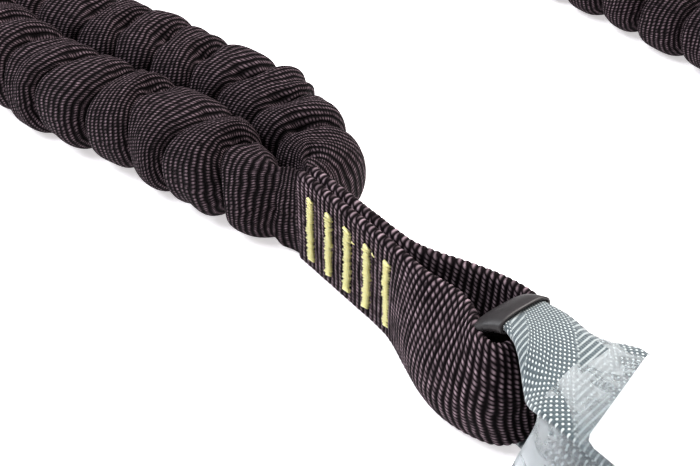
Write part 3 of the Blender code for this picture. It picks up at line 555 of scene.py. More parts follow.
# %% Thread
def tube_mesh(name, points, radius, sides, material, radii=None):
    """A round thread, wire or bar along a line, made by a bevelled curve and turned into a mesh with closed ends."""
    curve = bpy.data.curves.new(name, "CURVE")
    curve.dimensions = "3D"
    curve.bevel_depth = radius
    curve.bevel_resolution = max(0, sides // 2 - 2)
    curve.use_fill_caps = True
    spline = curve.splines.new("POLY")
    spline.points.add(len(points) - 1)
    for i, (at, place) in enumerate(zip(spline.points, points)):
        at.co = (*place, 1)
        at.radius = radii[i] if radii else 1.0
    held = bpy.data.objects.new(name + "_line", curve)
    mesh = bpy.data.meshes.new_from_object(held)
    bpy.data.objects.remove(held)
    bpy.data.curves.remove(curve)
    bm = from_mesh(mesh)
    bpy.data.meshes.remove(mesh)
    bmesh.ops.remove_doubles(bm, verts=bm.verts, dist=1e-7)
    bmesh.ops.recalc_face_normals(bm, faces=bm.faces)
    return finished(name, bm, material)


def joined(name, parts):
    """Several mesh objects as one piece."""
    bm = bmesh.new()
    for part in parts:
        bm.from_mesh(part.data)
    material = parts[0].data.materials[0]
    for part in parts:
        bpy.data.objects.remove(part)
    return finished(name, bm, material)


def thread_finish(name, base, shade):
    """Filament polyester thread: fine twisted plies along it, which shimmer like satin."""
    material, tree, shader = new_material(name, 0.5)
    place = add(tree, "TexCoord").outputs["Object"]
    grain = add(tree, "TexNoise", Vector=place, Scale=1800.0, Detail=2.0)
    two_tone(tree, shader, add(tree, "MapRange", grain, 0.35, 0.65, 0.0, 1.0), colour(shade), colour(base))
    link(tree, shader, Sheen_Weight=0.3)
    relief(tree, shader, grain, 0.1 * MM)
    return material


YELLOW_THREAD = thread_finish("yellow_polyester_thread", "#fffcb4", "#fbf192")
THREAD_RADIUS = 0.46 * MM
THREAD_PITCH = 0.46 * MM


def bar_tack(name, node, seed, across, up, out, face, strays=0):
    """A bar tack in a CAD tack's place; across, up and out are its directions, and face how far out its threads lie."""
    chance = random.Random(seed)
    low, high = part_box(node)
    centre = (low + high) / 2
    long = abs((high - low).dot(up))
    half_wide = abs((high - low).dot(across)) / 2
    stitches = round(long / THREAD_PITCH)
    lean = chance.uniform(-0.02, 0.03)
    parts = []
    for side in (-1, 1):
        points = []
        for i in range(stitches + 1):
            height = (i / stitches - 0.5) * long
            swing = (half_wide + chance.uniform(-0.3, 0.45) * MM) * (1 if i % 2 else -1)
            drift = 0.25 * MM * math.sin(5 * i / stitches + seed)
            place = centre + up * (height + chance.uniform(-0.1, 0.1) * MM) + across * (swing + drift + lean * height)
            points.append(place + out * (side * face + chance.uniform(-0.04, 0.06) * MM))
        parts.append(tube_mesh(f"{name}_{side}", points, THREAD_RADIUS, 6, YELLOW_THREAD))
    for i in range(strays):
        start = centre + up * (0.5 * long + chance.uniform(-3.5, -0.5) * MM) + across * (2.2 + 1.2 * i) * MM
        end = start + across * 1.1 * MM - up * chance.uniform(0.2, 0.8) * MM
        line = [p - out * (face - 0.05 * MM) for p in (start, (start + end) / 2 - out * 0.2 * MM, end)]
        parts.append(tube_mesh(f"{name}_stray_{i}", line, 0.16 * MM, 6, YELLOW_THREAD))
    return hand_over(joined(name, parts), node)


X_WAY, Y_WAY, Z_WAY = Vector((1, 0, 0)), Vector((0, 1, 0)), Vector((0, 0, 1))
for i in range(5):
    strays = 1 if i in (2, 3) else 0
    bar_tack(f"eye_bar_tack_{i + 1}", f"eye_tack_{i + 1}", 3 + i, X_WAY, Z_WAY, Y_WAY, 4.2 * MM, strays)
print("five bar tacks on the eye")

# %% [markdown]
# ## Wear sleeve and grey strap
# Where the strap goes through the eye it wears a smooth black sleeve. The strap itself is polyester, woven in slate
# blue and white, so that it looks like a fine checker of white dots, with bands of long white floats. Both are gathered
# narrow in the eye and lie a little towards its far side, and then the strap fans out to the pack's full width.

# %% Strap and sleeve path
LOOP_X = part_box("absorber_webbing")[0].x + 1.3 * MM
COVER_LOW, COVER_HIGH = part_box("pack_cover")
PACK_HALF = COVER_HIGH.x
FOLD_X = PACK_HALF - 12 * MM
STRAP_HALF_THICK = 1.3 * MM
PLY_PITCH = 3.0 * MM
PLIES = 11
TAIL_Z = 2.5 * MM
BAR_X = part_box("karabiner_body")[0].x + 5.5 * MM
BAR_Z = (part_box("karabiner_body")[0].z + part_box("karabiner_body")[1].z) / 2


def arc(centre, radius, start, end, steps):
    """Points on an arc in a plane, angles in degrees."""
    turns = np.radians(np.linspace(start, end, steps + 1))
    return [(centre[0] + radius * math.cos(t), centre[1] + radius * math.sin(t)) for t in turns]


def loop_rise():
    """The strap's middle line from the table, up inside the eye and over its bend to the pack's top."""
    lean = ((3, 1.4), (-3, 1.9), (-6.8, 5.2), (-8.8, 11), (-9.4, 19), (-8.4, 26.5), (-5.2, 31.8), (-0.3, 33.8))
    return [tuple(p) for p in smooth_line([(LOOP_X + x * MM, z * MM) for x, z in lean], 1.5 * MM)[0]]


def strap_path():
    path = [(-PACK_HALF + 45 * MM, TAIL_Z), (-PACK_HALF + 20 * MM, TAIL_Z), (-PACK_HALF - 2 * MM, 1.9 * MM)]
    path += loop_rise() + [(-103 * MM, 34.6 * MM), (-97 * MM, 35.2 * MM), (-91 * MM, 35.5 * MM), (-85 * MM, 35.6 * MM)]
    for ply in range(PLIES, 0, -1):
        z = TAIL_Z + ply * PLY_PITCH
        towards = 1 if (PLIES - ply) % 2 == 0 else -1
        path += [(share * towards * FOLD_X, z) for share in (-1, -0.5, 0, 0.5)]
        if ply > 1:
            path += arc((towards * FOLD_X, z - PLY_PITCH / 2), PLY_PITCH / 2, 90, 90 - towards * 180, 8)
    radius = 7.1 * MM
    path += [(FOLD_X + 4 * MM, TAIL_Z + 1.2 * PLY_PITCH)] + arc((BAR_X, BAR_Z), radius, 105, -90, 26)
    return path + [(PACK_HALF - 3 * MM, TAIL_Z), (PACK_HALF - 45 * MM, TAIL_Z)]


# %% Grey strap finish
STRAP_PITCH = 0.85 * MM
BAND_PITCH = 30 * MM


def checked_strap():
    """Slate and white polyester in a small checker: white dots where the weft floats over, with bands of streaks."""
    material, tree, shader = new_material("slate_white_polyester_strap", 0.62)
    uv = add(tree, "UVMap", settings={"uv_map": "UVMap"})
    place = add(tree, "SeparateXYZ", uv)
    u, v = (add(tree, "Math MULTIPLY", place.outputs[k], 1 / STRAP_PITCH) for k in (0, 1))
    wave_u, wave_v = (add(tree, "Math SINE", add(tree, "Math MULTIPLY", way, math.pi)) for way in (u, v))
    waves = add(tree, "Math MULTIPLY", wave_u, wave_v)
    dots = add(tree, "MapRange", waves, 0.3, 0.62, 0.0, 1.0)
    diagonal = add(tree, "Math MULTIPLY_ADD", place.outputs[1], 0.9, place.outputs[0])
    bands = add(tree, "Math SINE", add(tree, "Math MULTIPLY", diagonal, 2 * math.pi / BAND_PITCH))
    in_band = add(tree, "MapRange", bands, 0.35, 0.75, 0.0, 1.0)
    slant = add(tree, "Math MULTIPLY_ADD", u, 1.15 * math.pi, add(tree, "Math MULTIPLY", v, 0.5))
    streaks = add(tree, "MapRange", add(tree, "Math SINE", slant), 0.0, 0.9, 0.0, 0.55)
    pattern = add(tree, "Mix", in_band, settings={"data_type": "FLOAT"}, _2=dots, _3=streaks)
    fuzz = add(tree, "TexNoise", settings={"noise_dimensions": "2D"}, Vector=uv, Scale=900.0, Detail=2.0)
    ground = two_tone(tree, shader, fuzz, colour("#1f2d33"), colour("#495a60"))
    two_tone(tree, shader, pattern, ground, colour("#cdd6d6"))
    link(tree, shader, Sheen_Weight=0.3)
    relief(tree, shader, add(tree, "Math ADD", add(tree, "Math ABSOLUTE", waves), pattern), 0.18 * MM)
    return material


GREY_STRAP = checked_strap()


# %% Strap and sleeve
def dense_line(path, step):
    """A path's points with more of them in between, and the length up to each."""
    points = np.array(path)
    run = np.concatenate([[0], np.cumsum(np.linalg.norm(np.diff(points, axis=0), axis=1))])
    at = np.unique(np.round(np.concatenate([run, np.arange(0, run[-1], step)]), 7))
    return np.stack([np.interp(at, run, points[:, k]) for k in (0, 1)], axis=1), at


def walled(piece, thickness):
    """Gives a thin sheet its thickness, inwards."""
    wall = piece.modifiers.new("wall", "SOLIDIFY")
    wall.thickness, wall.offset = thickness, -1
    return piece


def line_normals(line):
    ahead = np.gradient(line, axis=0)
    ahead /= np.linalg.norm(ahead, axis=1)[:, None]
    return np.stack([-ahead[:, 1], ahead[:, 0]], axis=1)


def band(name, line, at, half_wide, half_thick, centre_y, material, droop=None, round_share=0.3):
    """A flat woven band along a line in the XZ plane, with rounded edges."""
    normals = line_normals(line)
    sides = 40
    turns = np.linspace(0, 2 * math.pi, sides + 1)
    flat = np.sign(np.cos(turns)) * np.abs(np.cos(turns)) ** round_share
    thick = np.sign(np.sin(turns)) * np.abs(np.sin(turns)) ** 0.7
    y = centre_y[:, None] + half_wide[:, None] * flat[None, :]
    out = half_thick[:, None] * thick[None, :]
    x = line[:, :1] + normals[:, :1] * out
    z = line[:, 1:] + normals[:, 1:] * out
    if droop is not None:
        x, y, z = droop(x, y, z)
    places = np.stack([x, y, z], axis=2)
    places[:, -1] = places[:, 0]
    across = flat[None, :] * half_wide.max()
    made = cloth(name, places, np.repeat(at[:, None], sides + 1, 1), np.repeat(across, len(at), 0), material)
    bm = from_mesh(made.data)
    bmesh.ops.holes_fill(bm, edges=[e for e in bm.edges if e.is_boundary])
    bmesh.ops.recalc_face_normals(bm, faces=bm.faces)
    bm.to_mesh(made.data)
    bm.free()
    made.data.shade_smooth()
    return made


def make_strap():
    line, at = dense_line(strap_path(), 4 * MM)
    in_loop = line[:, 0] < -60 * MM
    top = line[:, 1] > 15 * MM
    leg_end = np.where(top, ease(-line[:, 0], 84 * MM, 110 * MM), ease(-line[:, 0], 82 * MM, 99 * MM)) * in_loop
    harness_end = ease(line[:, 0], PACK_HALF - 8 * MM, PACK_HALF + 6 * MM)
    half_wide = 16 * MM - 9.0 * MM * leg_end - 3.5 * MM * harness_end
    centre_y = 4.4 * MM * leg_end
    half_thick = np.full(len(at), STRAP_HALF_THICK)

    def droop(x, y, z):
        """The fanned strap rolls down over the pack's near and far corners."""
        fan = bump_of(x, -95 * MM, 6.5 * MM) * (z > 25 * MM)
        past = np.maximum(np.abs(y - 2.0 * MM) - 5.5 * MM, 0)
        down = fan * 0.95 * past * past / (past + 5 * MM)
        return x, y + np.sign(2.0 * MM - y) * fan * 0.1 * past, z - down

    strap = band("absorber_strap", line, at, half_wide, half_thick, centre_y, GREY_STRAP, droop)
    print("strap", round(at[-1], 2), "m")
    return strap


def make_sleeve():
    rise = loop_rise()
    line, at = dense_line([p for p in rise if p[1] > 8 * MM], 1.2 * MM)
    spread = ease(at, at[-1] - 9 * MM, at[-1])
    half_wide = 8.5 * MM - 0.3 * MM * spread
    centre = 2.2 * MM + 2.4 * MM * spread
    half_thick = 2.25 * MM + 0.35 * MM * spread
    normals = line_normals(line)
    turns = np.linspace(0, 2 * math.pi, 49)
    flat = np.sign(np.cos(turns)) * np.abs(np.cos(turns)) ** 0.62
    thick = np.sign(np.sin(turns)) * np.abs(np.sin(turns)) ** 0.8
    wave = 1 + 0.05 * np.sin(at / (5 * MM))[:, None] * np.cos(3 * turns)[None, :]
    y = centre[:, None] + half_wide[:, None] * flat[None, :] * wave
    out = half_thick[:, None] * thick[None, :] * wave
    places = np.stack([line[:, :1] + normals[:, :1] * out, y, line[:, 1:] + normals[:, 1:] * out], axis=2)
    places[:, -1] = places[:, 0]
    along = np.repeat(at[:, None], 49, 1)
    across = np.repeat((turns * 7 * MM)[None, :], len(at), 0)
    sleeve = cloth("wear_sleeve", places, along, across, BLACK_SLEEVE)
    return walled(sleeve, 0.7 * MM)


def sleeve_finish():
    """Extruded polyurethane tube: smooth and satin, with faint scuffs from the strap's edges."""
    material, tree, shader = new_material("black_polyurethane_sleeve", 0.5)
    place = add(tree, "TexCoord").outputs["Object"]
    scuffs = add(tree, "TexNoise", Vector=place, Scale=420.0, Detail=4.0, Roughness=0.6)
    link(tree, shader, Roughness=add(tree, "Math MULTIPLY_ADD", scuffs, 0.3, 0.36))
    two_tone(tree, shader, scuffs, colour("#100e0f"), colour("#231f21"))
    relief(tree, shader, scuffs, 0.06 * MM)
    return material


BLACK_SLEEVE = sleeve_finish()
hand_over(make_strap(), "absorber_webbing")
hand_over(make_sleeve(), "loop_sleeve")
print("strap and its sleeve in place")

# %% [markdown]
# ## Clear cover and label
# The pack is held shut by a clear film, shrunk over it, so it hugs the strap's end, creases along the corners and hazes
# where it touches. It is a thin closed tube with soft wrinkles and a glassy finish. A blank white card lies under it.

# %% Cover and label
def film_finish():
    """Heat-shrunk clear vinyl: glass-like, with a faint haze and fine wrinkles that catch the light."""
    material, tree, shader = new_material("clear_vinyl_film", 0.14, base="#dfe4e6")
    place = add(tree, "TexCoord").outputs["Object"]
    stretched = add(tree, "Mapping", Vector=place, Scale=(1.0, 2.2, 1.0))
    wrinkles = add(tree, "TexNoise", Vector=stretched, Scale=95.0, Detail=3.0, Distortion=1.2)
    along = add(tree, "SeparateXYZ", place)
    sealed = add(tree, "MapRange", along, -88 * MM, -72 * MM, 1.0, 0.0)
    milky = add(tree, "Math MULTIPLY", sealed, add(tree, "MapRange", wrinkles, 0.38, 0.56, 0.15, 1.0))
    clear = add(tree, "Math MULTIPLY_ADD", milky, -0.26, 0.93)
    link(tree, shader, IOR=1.12, Transmission_Weight=clear, Roughness=add(tree, "Math MULTIPLY_ADD", milky, 0.3, 0.14))
    relief(tree, shader, wrinkles, 1.2 * MM, 0.6)
    return material


def make_cover():
    rows, sides = 150, 72
    along = np.linspace(0, 1, rows + 1)[:, None]
    turns = np.linspace(0, 2 * math.pi, sides + 1)[None, :]
    x = COVER_LOW.x + (COVER_HIGH.x - COVER_LOW.x) * along
    tight_leg = 1 - ease(x, COVER_LOW.x - 4 * MM, COVER_LOW.x + 20 * MM)
    tight_harness = ease(x, COVER_HIGH.x - 9 * MM, COVER_HIGH.x + 2 * MM)
    half_y = 17.2 * MM - 1.2 * MM * tight_leg - 2.2 * MM * tight_harness
    top = COVER_HIGH.z - 0.6 * MM - 1.0 * MM * tight_leg - 16 * MM * tight_harness
    middle = top / 2
    side = np.sign(np.cos(turns)) * np.abs(np.cos(turns)) ** 0.22
    up = np.sign(np.sin(turns)) * np.abs(np.sin(turns)) ** 0.22
    pull = 1 - 0.1 * tight_leg * np.abs(np.sin(2 * turns))
    ripple = 0.35 * MM * np.sin(x / (5.2 * MM) + 2.2 * np.sin(turns)) * np.sin(3 * turns + x / (17 * MM))
    y = (half_y + ripple) * side * pull
    z = middle + (middle - 0.15 * MM + 0.5 * ripple * (up > 0)) * up * pull
    edge = 1.6 * MM * np.sin(2 * turns + 1.0) * (tight_leg - tight_harness)
    high = np.clip(z / (38 * MM), 0, 1)
    x = x + tight_leg * (edge + (4 * MM - 0.25 * y) * high - 3 * MM * (1 - high))
    places = np.stack(np.broadcast_arrays(x, y, np.maximum(z, 0.1 * MM)), axis=2).copy()
    places[:, -1] = places[:, 0]
    cover = cloth("pack_film", places, x, np.repeat(turns * 17 * MM, rows + 1, 0), film_finish())
    return walled(cover, 0.3 * MM)


def make_label():
    low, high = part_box("label_card")
    long, wide = high.x - low.x, high.y - low.y
    bm = bmesh.new()
    bmesh.ops.create_grid(bm, x_segments=60, y_segments=16, size=0.5)
    corner = 2.0 * MM
    for vert in bm.verts:
        x, y = vert.co.x * long, vert.co.y * wide
        past_x, past_y = max(0, abs(x) - long / 2 + corner), max(0, abs(y) - wide / 2 + corner)
        beyond = math.hypot(past_x, past_y)
        if past_x and past_y and beyond > corner:
            x -= math.copysign(past_x * (1 - corner / beyond), x)
            y -= math.copysign(past_y * (1 - corner / beyond), y)
        wave = 0.12 * MM * math.sin(x / (11 * MM)) * math.cos(y / (9 * MM))
        x += (0.5 - x / long) * (4.5 * MM - 0.3 * y)
        vert.co = ((low.x + high.x) / 2 + x, (low.y + high.y) / 2 + 1.04 * y, high.z - 0.1 * MM + wave)
    bmesh.ops.recalc_face_normals(bm, faces=bm.faces)
    material, tree, shader = new_material("coated_white_card", 0.45)
    fibres = add(tree, "TexNoise", Vector=add(tree, "TexCoord").outputs["Object"], Scale=900.0, Detail=3.0)
    two_tone(tree, shader, fibres, colour("#f3f3f2"), colour("#ffffff"))
    relief(tree, shader, fibres, 0.02 * MM)
    label = finished("blank_label", bm, material)
    return walled(label, 0.35 * MM)


hand_over(make_cover(), "pack_cover")
hand_over(make_label(), "label_card")
for end in ("leg", "harness"):
    for i in (1, 2, 3):
        bar_tack(f"{end}_loop_bar_tack_{i}", f"{end}_loop_tack_{i}", 20 + i, X_WAY, Y_WAY, Z_WAY, 3.0 * MM)
print("cover, label and the six tacks inside the pack")

# %% [markdown]
# ## Leg ends
# Each leg's webbing goes round its hook's eye bar, back on itself, and is closed with three bar tacks.

# %% End loops
PIVOTS = {joint["name"]: Vector(joint["pos_m"]) for joint in frame["joints"] if "pos_m" in joint}
END_REACH = 42 * MM


def make_end_loop(letter):
    """The flat loop from the leg's end round the eye bar, along the leg's last heading, which is +X."""
    bar = PIVOTS[f"hook_{letter}_swing"]
    start = bar.x - END_REACH
    path = [(start - 3 * MM, LEG_Z + 1.7 * MM), (start + 1 * MM, LEG_Z + 1.7 * MM)]
    path += [(start + 12 * MM, LEG_Z + 0.2 * MM), (start + 23 * MM, LEG_Z - 1.4 * MM)]
    path += arc((bar.x, bar.z), 5.8 * MM, 100, -110, 22)
    path += [(start + 23 * MM, LEG_Z - 4.6 * MM), (start + 12 * MM, LEG_Z - 3.2 * MM)]
    path += [(start + 1 * MM, LEG_Z - 1.7 * MM), (start - 3 * MM, LEG_Z - 1.7 * MM)]
    line, at = dense_line(path, 1.5 * MM)
    wide = np.full(len(at), 13 * MM)
    thick = np.full(len(at), 1.5 * MM)
    loop = band(f"end_loop_{letter}", line, at, wide, thick, np.full(len(at), bar.y), BLACK_WEBBING)
    pieces = [hand_over(loop, f"leg_{letter}_end_loop")]
    tilt = Vector((0.13, 0, 1)).normalized()
    for i in (1, 2, 3):
        node = f"leg_{letter}_end_tack_{i}"
        pieces.append(bar_tack(f"end_bar_tack_{letter}_{i}", node, 40 + i, X_WAY, Y_WAY, tilt, 3.4 * MM))
    return pieces


end_pieces = {letter: make_end_loop(letter) for letter in "ab"}
print("two end loops with three tacks each")

# %% [markdown]
# ## Metal finishes
# The karabiner, the gates, levers and rivets are steel with a bright zinc coating, a little blue and cloudy from the
# bath. The hook bodies are forged aluminium, tumbled until satin. Both start as metals with their usual colour, and
# fine noise in the roughness gives the smears and grain that show where light glances off.


# %% Metals
def metal_finish(name, base, shade, rough, grain_mm, dent=0.01 * MM):
    material, tree, shader = new_material(name, rough, 1.0)
    place = add(tree, "TexCoord").outputs["Object"]
    grain = add(tree, "TexNoise", Vector=place, Scale=1 / (grain_mm * MM), Detail=3.0)
    clouds = add(tree, "TexNoise", Vector=place, Scale=1 / (14 * MM), Detail=2.0)
    two_tone(tree, shader, clouds, colour(shade), colour(base))
    link(tree, shader, Roughness=add(tree, "Math MULTIPLY_ADD", grain, 0.22, rough - 0.11))
    relief(tree, shader, grain, dent)
    return material


ZINC_STEEL = metal_finish("zinc_plated_steel", "#a3a8ae", "#7e848b", 0.3, 0.9)
FORGED_ALUMINIUM = metal_finish("tumbled_forged_aluminium", "#a6a8ab", "#85888c", 0.44, 0.5, 0.05 * MM)
SPRING_STEEL = metal_finish("drawn_spring_steel", "#85898e", "#5e6267", 0.26, 0.4)
print("three metals")


# %% Shaping metal
def crisp(piece, angle=35):
    piece.data.shade_smooth()
    piece.data.set_sharp_from_angle(angle=math.radians(angle))
    return piece


def combined(piece, *steps):
    """Booleans with helper shapes, each given as an operation and an object, and the result applied."""
    for i, (operation, tool) in enumerate(steps):
        step = piece.modifiers.new(f"step_{i}", "BOOLEAN")
        step.operation, step.object, step.solver = operation, tool, "EXACT"
    bpy.context.view_layer.update()
    shaped = bpy.data.meshes.new_from_object(piece.evaluated_get(bpy.context.evaluated_depsgraph_get()))
    piece.modifiers.clear()
    piece.data = shaped
    for _, tool in steps:
        bpy.data.objects.remove(tool, do_unlink=True)
    return crisp(piece)


def plate(name, outline, low, high, round_by, material, segments=3):
    """An outline in millimetres round a pivot, extruded between two heights and rounded along both rims."""
    bm = bmesh.new()
    face = bm.faces.new([bm.verts.new((x * MM, y * MM, low)) for x, y in outline])
    grown = bmesh.ops.extrude_face_region(bm, geom=[face])
    top = [item for item in grown["geom"] if isinstance(item, bmesh.types.BMVert)]
    bmesh.ops.translate(bm, vec=(0, 0, high - low), verts=top)
    bmesh.ops.recalc_face_normals(bm, faces=bm.faces)
    if round_by:
        rims = [e for e in bm.edges if abs(e.verts[0].co.z - e.verts[1].co.z) < 1e-9]
        bmesh.ops.bevel(bm, geom=rims, offset=round_by, offset_type="OFFSET", segments=segments, profile=0.5,
                        affect="EDGES", clamp_overlap=True, material=-1)
    return finished(name, bm, material)


def rod(name, radius, low, high, sides=28, round_by=0.0, material=None):
    """A short cylinder along Z with its end edges rounded."""
    bm = bmesh.new()
    bmesh.ops.create_cone(bm, cap_ends=True, segments=sides, radius1=radius, radius2=radius, depth=high - low)
    bmesh.ops.translate(bm, vec=(0, 0, (low + high) / 2), verts=bm.verts)
    if round_by:
        rims = [e for e in bm.edges if abs(e.verts[0].co.z - e.verts[1].co.z) < 1e-9]
        bmesh.ops.bevel(bm, geom=rims, offset=round_by, segments=3, profile=0.5, affect="EDGES", material=-1)
    return finished(name, bm, material or ZINC_STEEL)


def block(name, low, high):
    bm = bmesh.new()
    bmesh.ops.create_cube(bm, size=1.0)
    size = Vector(high) - Vector(low)
    bmesh.ops.scale(bm, vec=size, verts=bm.verts)
    bmesh.ops.translate(bm, vec=Vector(low) + size / 2, verts=bm.verts)
    return finished(name, bm, ZINC_STEEL, smooth=False)


def turned(name, profile, steps, material, axis="Z"):
    """A profile of (radius, height) in millimetres, spun round its axis."""
    bm = bmesh.new()
    line = [bm.verts.new((r * MM, 0, h * MM)) for r, h in profile]
    edges = [bm.edges.new(pair) for pair in zip(line, line[1:])]
    bmesh.ops.spin(
        bm, geom=line + edges, cent=(0, 0, 0), axis=(0, 0, 1), angle=2 * math.pi, steps=steps, use_merge=True)
    bmesh.ops.remove_doubles(bm, verts=bm.verts, dist=1e-6)
    if axis == "X":
        bmesh.ops.rotate(bm, matrix=Matrix.Rotation(math.pi / 2, 3, "Y"), verts=bm.verts)
    bmesh.ops.recalc_face_normals(bm, faces=bm.faces)
    return finished(name, bm, material)


def moved(piece, where):
    piece.data.transform(Matrix.Translation(where))
    return piece


def placed(piece, where, body, node):
    """Puts a shape made round the origin in its place, in its mesh, and hands it to its body."""
    hand_over(moved(piece, where), node, body)


def coil_spring(name, node, body, wire, turns=2.6):
    """A torsion spring in its CAD place: close turns of round wire."""
    low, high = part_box(node)
    centre = (low + high) / 2
    radius = (high.x - low.x) / 2 - wire
    rise = high.z - low.z - 2 * wire
    points = []
    for i in range(round(turns * 20) + 1):
        t = 2 * math.pi * i / 20
        height = low.z + wire + rise * i / (turns * 20)
        points.append((centre.x + radius * math.cos(t), centre.y + radius * math.sin(t), height))
    spring = tube_mesh(name, points, wire, 8, SPRING_STEEL)
    hand_over(crisp(spring, 50), node, body)


print("tools for metal ready")

# %% [markdown]
# ## Karabiner
# A steel screw karabiner: one bar, bent round, with a gate on a pin and a sleeve that slides over the gate's end and
# locks it. The bar is a bevelled curve, the slot and the pin's hole are cut with booleans, and the sleeve is turned on
# a lathe and knurled by pressing every second line of its middle inwards.

# %% Karabiner
KARABINER = PIVOTS["karabiner_swing"]
GATE_PIVOT = PIVOTS["karabiner_gate_hinge"] - KARABINER
BODY_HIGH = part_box("karabiner_body")[1] - KARABINER
BAR = 5.5 * MM
SIDE = BODY_HIGH.y - BAR
CORNER, BOW = 12 * MM, 22 * MM
BOW_U = BODY_HIGH.x - BAR - BOW
NOSE_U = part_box("karabiner_gate")[1].x - KARABINER.x + 0.7 * MM
SLOT_HALF = 2.7 * MM


def flat_arc(centre, wide, high, start, end, steps):
    turns = np.radians(np.linspace(start, end, steps + 1))
    return [(centre[0] + wide * math.cos(t), centre[1] + high * math.sin(t), 0) for t in turns]


def make_karabiner():
    path = [(GATE_PIVOT.x + 6 * MM, -SIDE, 0), (GATE_PIVOT.x - 6 * MM, -SIDE, 0)]
    path += flat_arc((CORNER, -SIDE + CORNER), CORNER, CORNER, 270, 180, 16)
    path += flat_arc((CORNER, SIDE - CORNER), CORNER, CORNER, 180, 90, 16)
    path += flat_arc((BOW_U, 0), BOW, SIDE, 90, -90, 48) + [(NOSE_U, -SIDE, 0)]
    body = tube_mesh("steel_karabiner_body", path, BAR, 32, ZINC_STEEL)
    slot = block("slot", (GATE_PIVOT.x - 5.2 * MM, -SIDE - 9 * MM, -SLOT_HALF),
                 (GATE_PIVOT.x + 9 * MM, -SIDE + 9 * MM, SLOT_HALF))
    hole = moved(rod("hole", 1.85 * MM, -9 * MM, 9 * MM), GATE_PIVOT)
    placed(combined(body, ("DIFFERENCE", slot), ("DIFFERENCE", hole)), KARABINER, "karabiner", "karabiner_body")
    pin = crisp(rod("karabiner_pin", 1.6 * MM, -5.15 * MM, 5.15 * MM, 24, 0.5 * MM, SPRING_STEEL))
    placed(pin, KARABINER + GATE_PIVOT, "karabiner", "karabiner_gate_pin")
    coil_spring("karabiner_spring", "karabiner_gate_spring", "karabiner", 0.3 * MM)


def make_karabiner_gate():
    low, high = (corner - KARABINER - GATE_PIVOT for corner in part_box("karabiner_gate"))
    bar = turned("steel_gate", [
        (0, 8.5), (4.4, 8.5), (5.4, 9.5), (5.4, 14), (5.1, 14.4), (5.1, high.x / MM - 8), (5.4, high.x / MM - 7.6),
        (5.4, high.x / MM - 0.6), (4.8, high.x / MM), (0, high.x / MM),
    ], 40, ZINC_STEEL, "X")
    tongue = plate("tongue", [(4.5 * math.cos(t), 4.5 * math.sin(t)) for t in np.radians(np.linspace(90, 270, 17))]
                   + [(11, -4.5), (11, 4.5)], -2.4 * MM, 0.3 * MM, 0.3 * MM, ZINC_STEEL, 1)
    hole = rod("hole", 1.9 * MM, -9 * MM, 9 * MM)
    gate = combined(bar, ("UNION", tongue), ("DIFFERENCE", hole))
    placed(gate, KARABINER + GATE_PIVOT, "karabiner_gate", "karabiner_gate")


def make_lock_sleeve():
    low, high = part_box("karabiner_lock_sleeve")
    long, outer, bore = (high.x - low.x) / MM, (high.z - low.z) / 2 / MM, 6.4
    profile = [(bore, 0.5), (bore + 0.5, 0), (outer - 1.3, 0), (outer, 1.3), (outer, 3.2), (outer - 0.6, 3.6),
               (outer - 0.6, 4.4), (outer - 0.15, 4.8)]
    profile += [(outer - 0.15, long - 4.8), (outer - 0.6, long - 4.4), (outer - 0.6, long - 3.6), (outer, long - 3.2)]
    profile += [(outer, long - 1.3), (outer - 1.3, long), (bore + 0.5, long), (bore, long - 0.5), (bore, 0.5)]
    sleeve = turned("knurled_lock_sleeve", profile, 96, ZINC_STEEL, "X")
    bm = from_mesh(sleeve.data)
    bmesh.ops.remove_doubles(bm, verts=bm.verts, dist=1e-6)
    for vert in bm.verts:
        turn = round((math.atan2(vert.co.z, vert.co.y) % (2 * math.pi)) / (2 * math.pi / 96)) % 4
        outside = math.hypot(vert.co.y, vert.co.z) > bore * MM + 0.5 * MM
        if turn < 2 and outside and 4.5 * MM < vert.co.x < (long - 4.5) * MM:
            vert.co.yz *= 1 - 0.5 / outer
    bm.to_mesh(sleeve.data)
    bm.free()
    middle = (low + high) / 2
    placed(crisp(sleeve, 30), (low.x, middle.y, middle.z), "karabiner_lock", "karabiner_lock_sleeve")


make_karabiner()
make_karabiner_gate()
make_lock_sleeve()
print("karabiner of five pieces")

# %% [markdown]
# ## Scaffold hooks
# Each hook is a flat aluminium forging: an eye for the webbing, a shank and a wide basket that clips over a scaffold
# tube. Forging rounds every rim and leaves a groove along both faces, so the plate gets broad bevels and a groove cut
# by a round bar. The steel gate and its safety lever turn on rivets and are held shut by springs.

# %% Hooks
BASKET_U, BASKET, HOOK_BAR = 163, 31, 17
HOOK_HALF = 6 * MM
NOSE = 150.2


def rounded(outline, step=2.0):
    """A closed outline with its straight runs and corners drawn as one soft curve."""
    line = smooth_line(outline + outline[:1], step)[0]
    return [tuple(point) for point in line[:-1]]


def hook_outline(gate):
    outer = BASKET + HOOK_BAR
    shape = [(-5, -20), (-2.6, -22.8), (4, -23), (18, -22.6), (30, -19.4), (40, -17.4), (58, -22), (70, -33)]
    shape += arc(gate, 8.5, 225, 395, 9)
    shape += [(gate[0] - 4.5, -24.5), (79, -16), (77.6, -3), (84, 13), (98, 24), (120, 29.6), (140, 30.4)]
    shape += arc((BASKET_U, 0), BASKET, 86, -86, 14)
    shape += [(NOSE + 6, -BASKET - 0.6), (NOSE + 1.6, -BASKET - 1.6), (NOSE, -BASKET - 4.5), (NOSE, 5 - outer)]
    shape += [(NOSE + 2.4, 1.4 - outer)] + arc((BASKET_U, 0), outer, -95, 88, 18)
    shape += [(140, outer - 0.6), (118, outer - 2.4), (98, 41), (84, 33), (62, 23), (40, 17.4), (30, 19.4), (18, 22.6)]
    return shape + [(4, 23), (-2.6, 22.8), (-5, 20)]


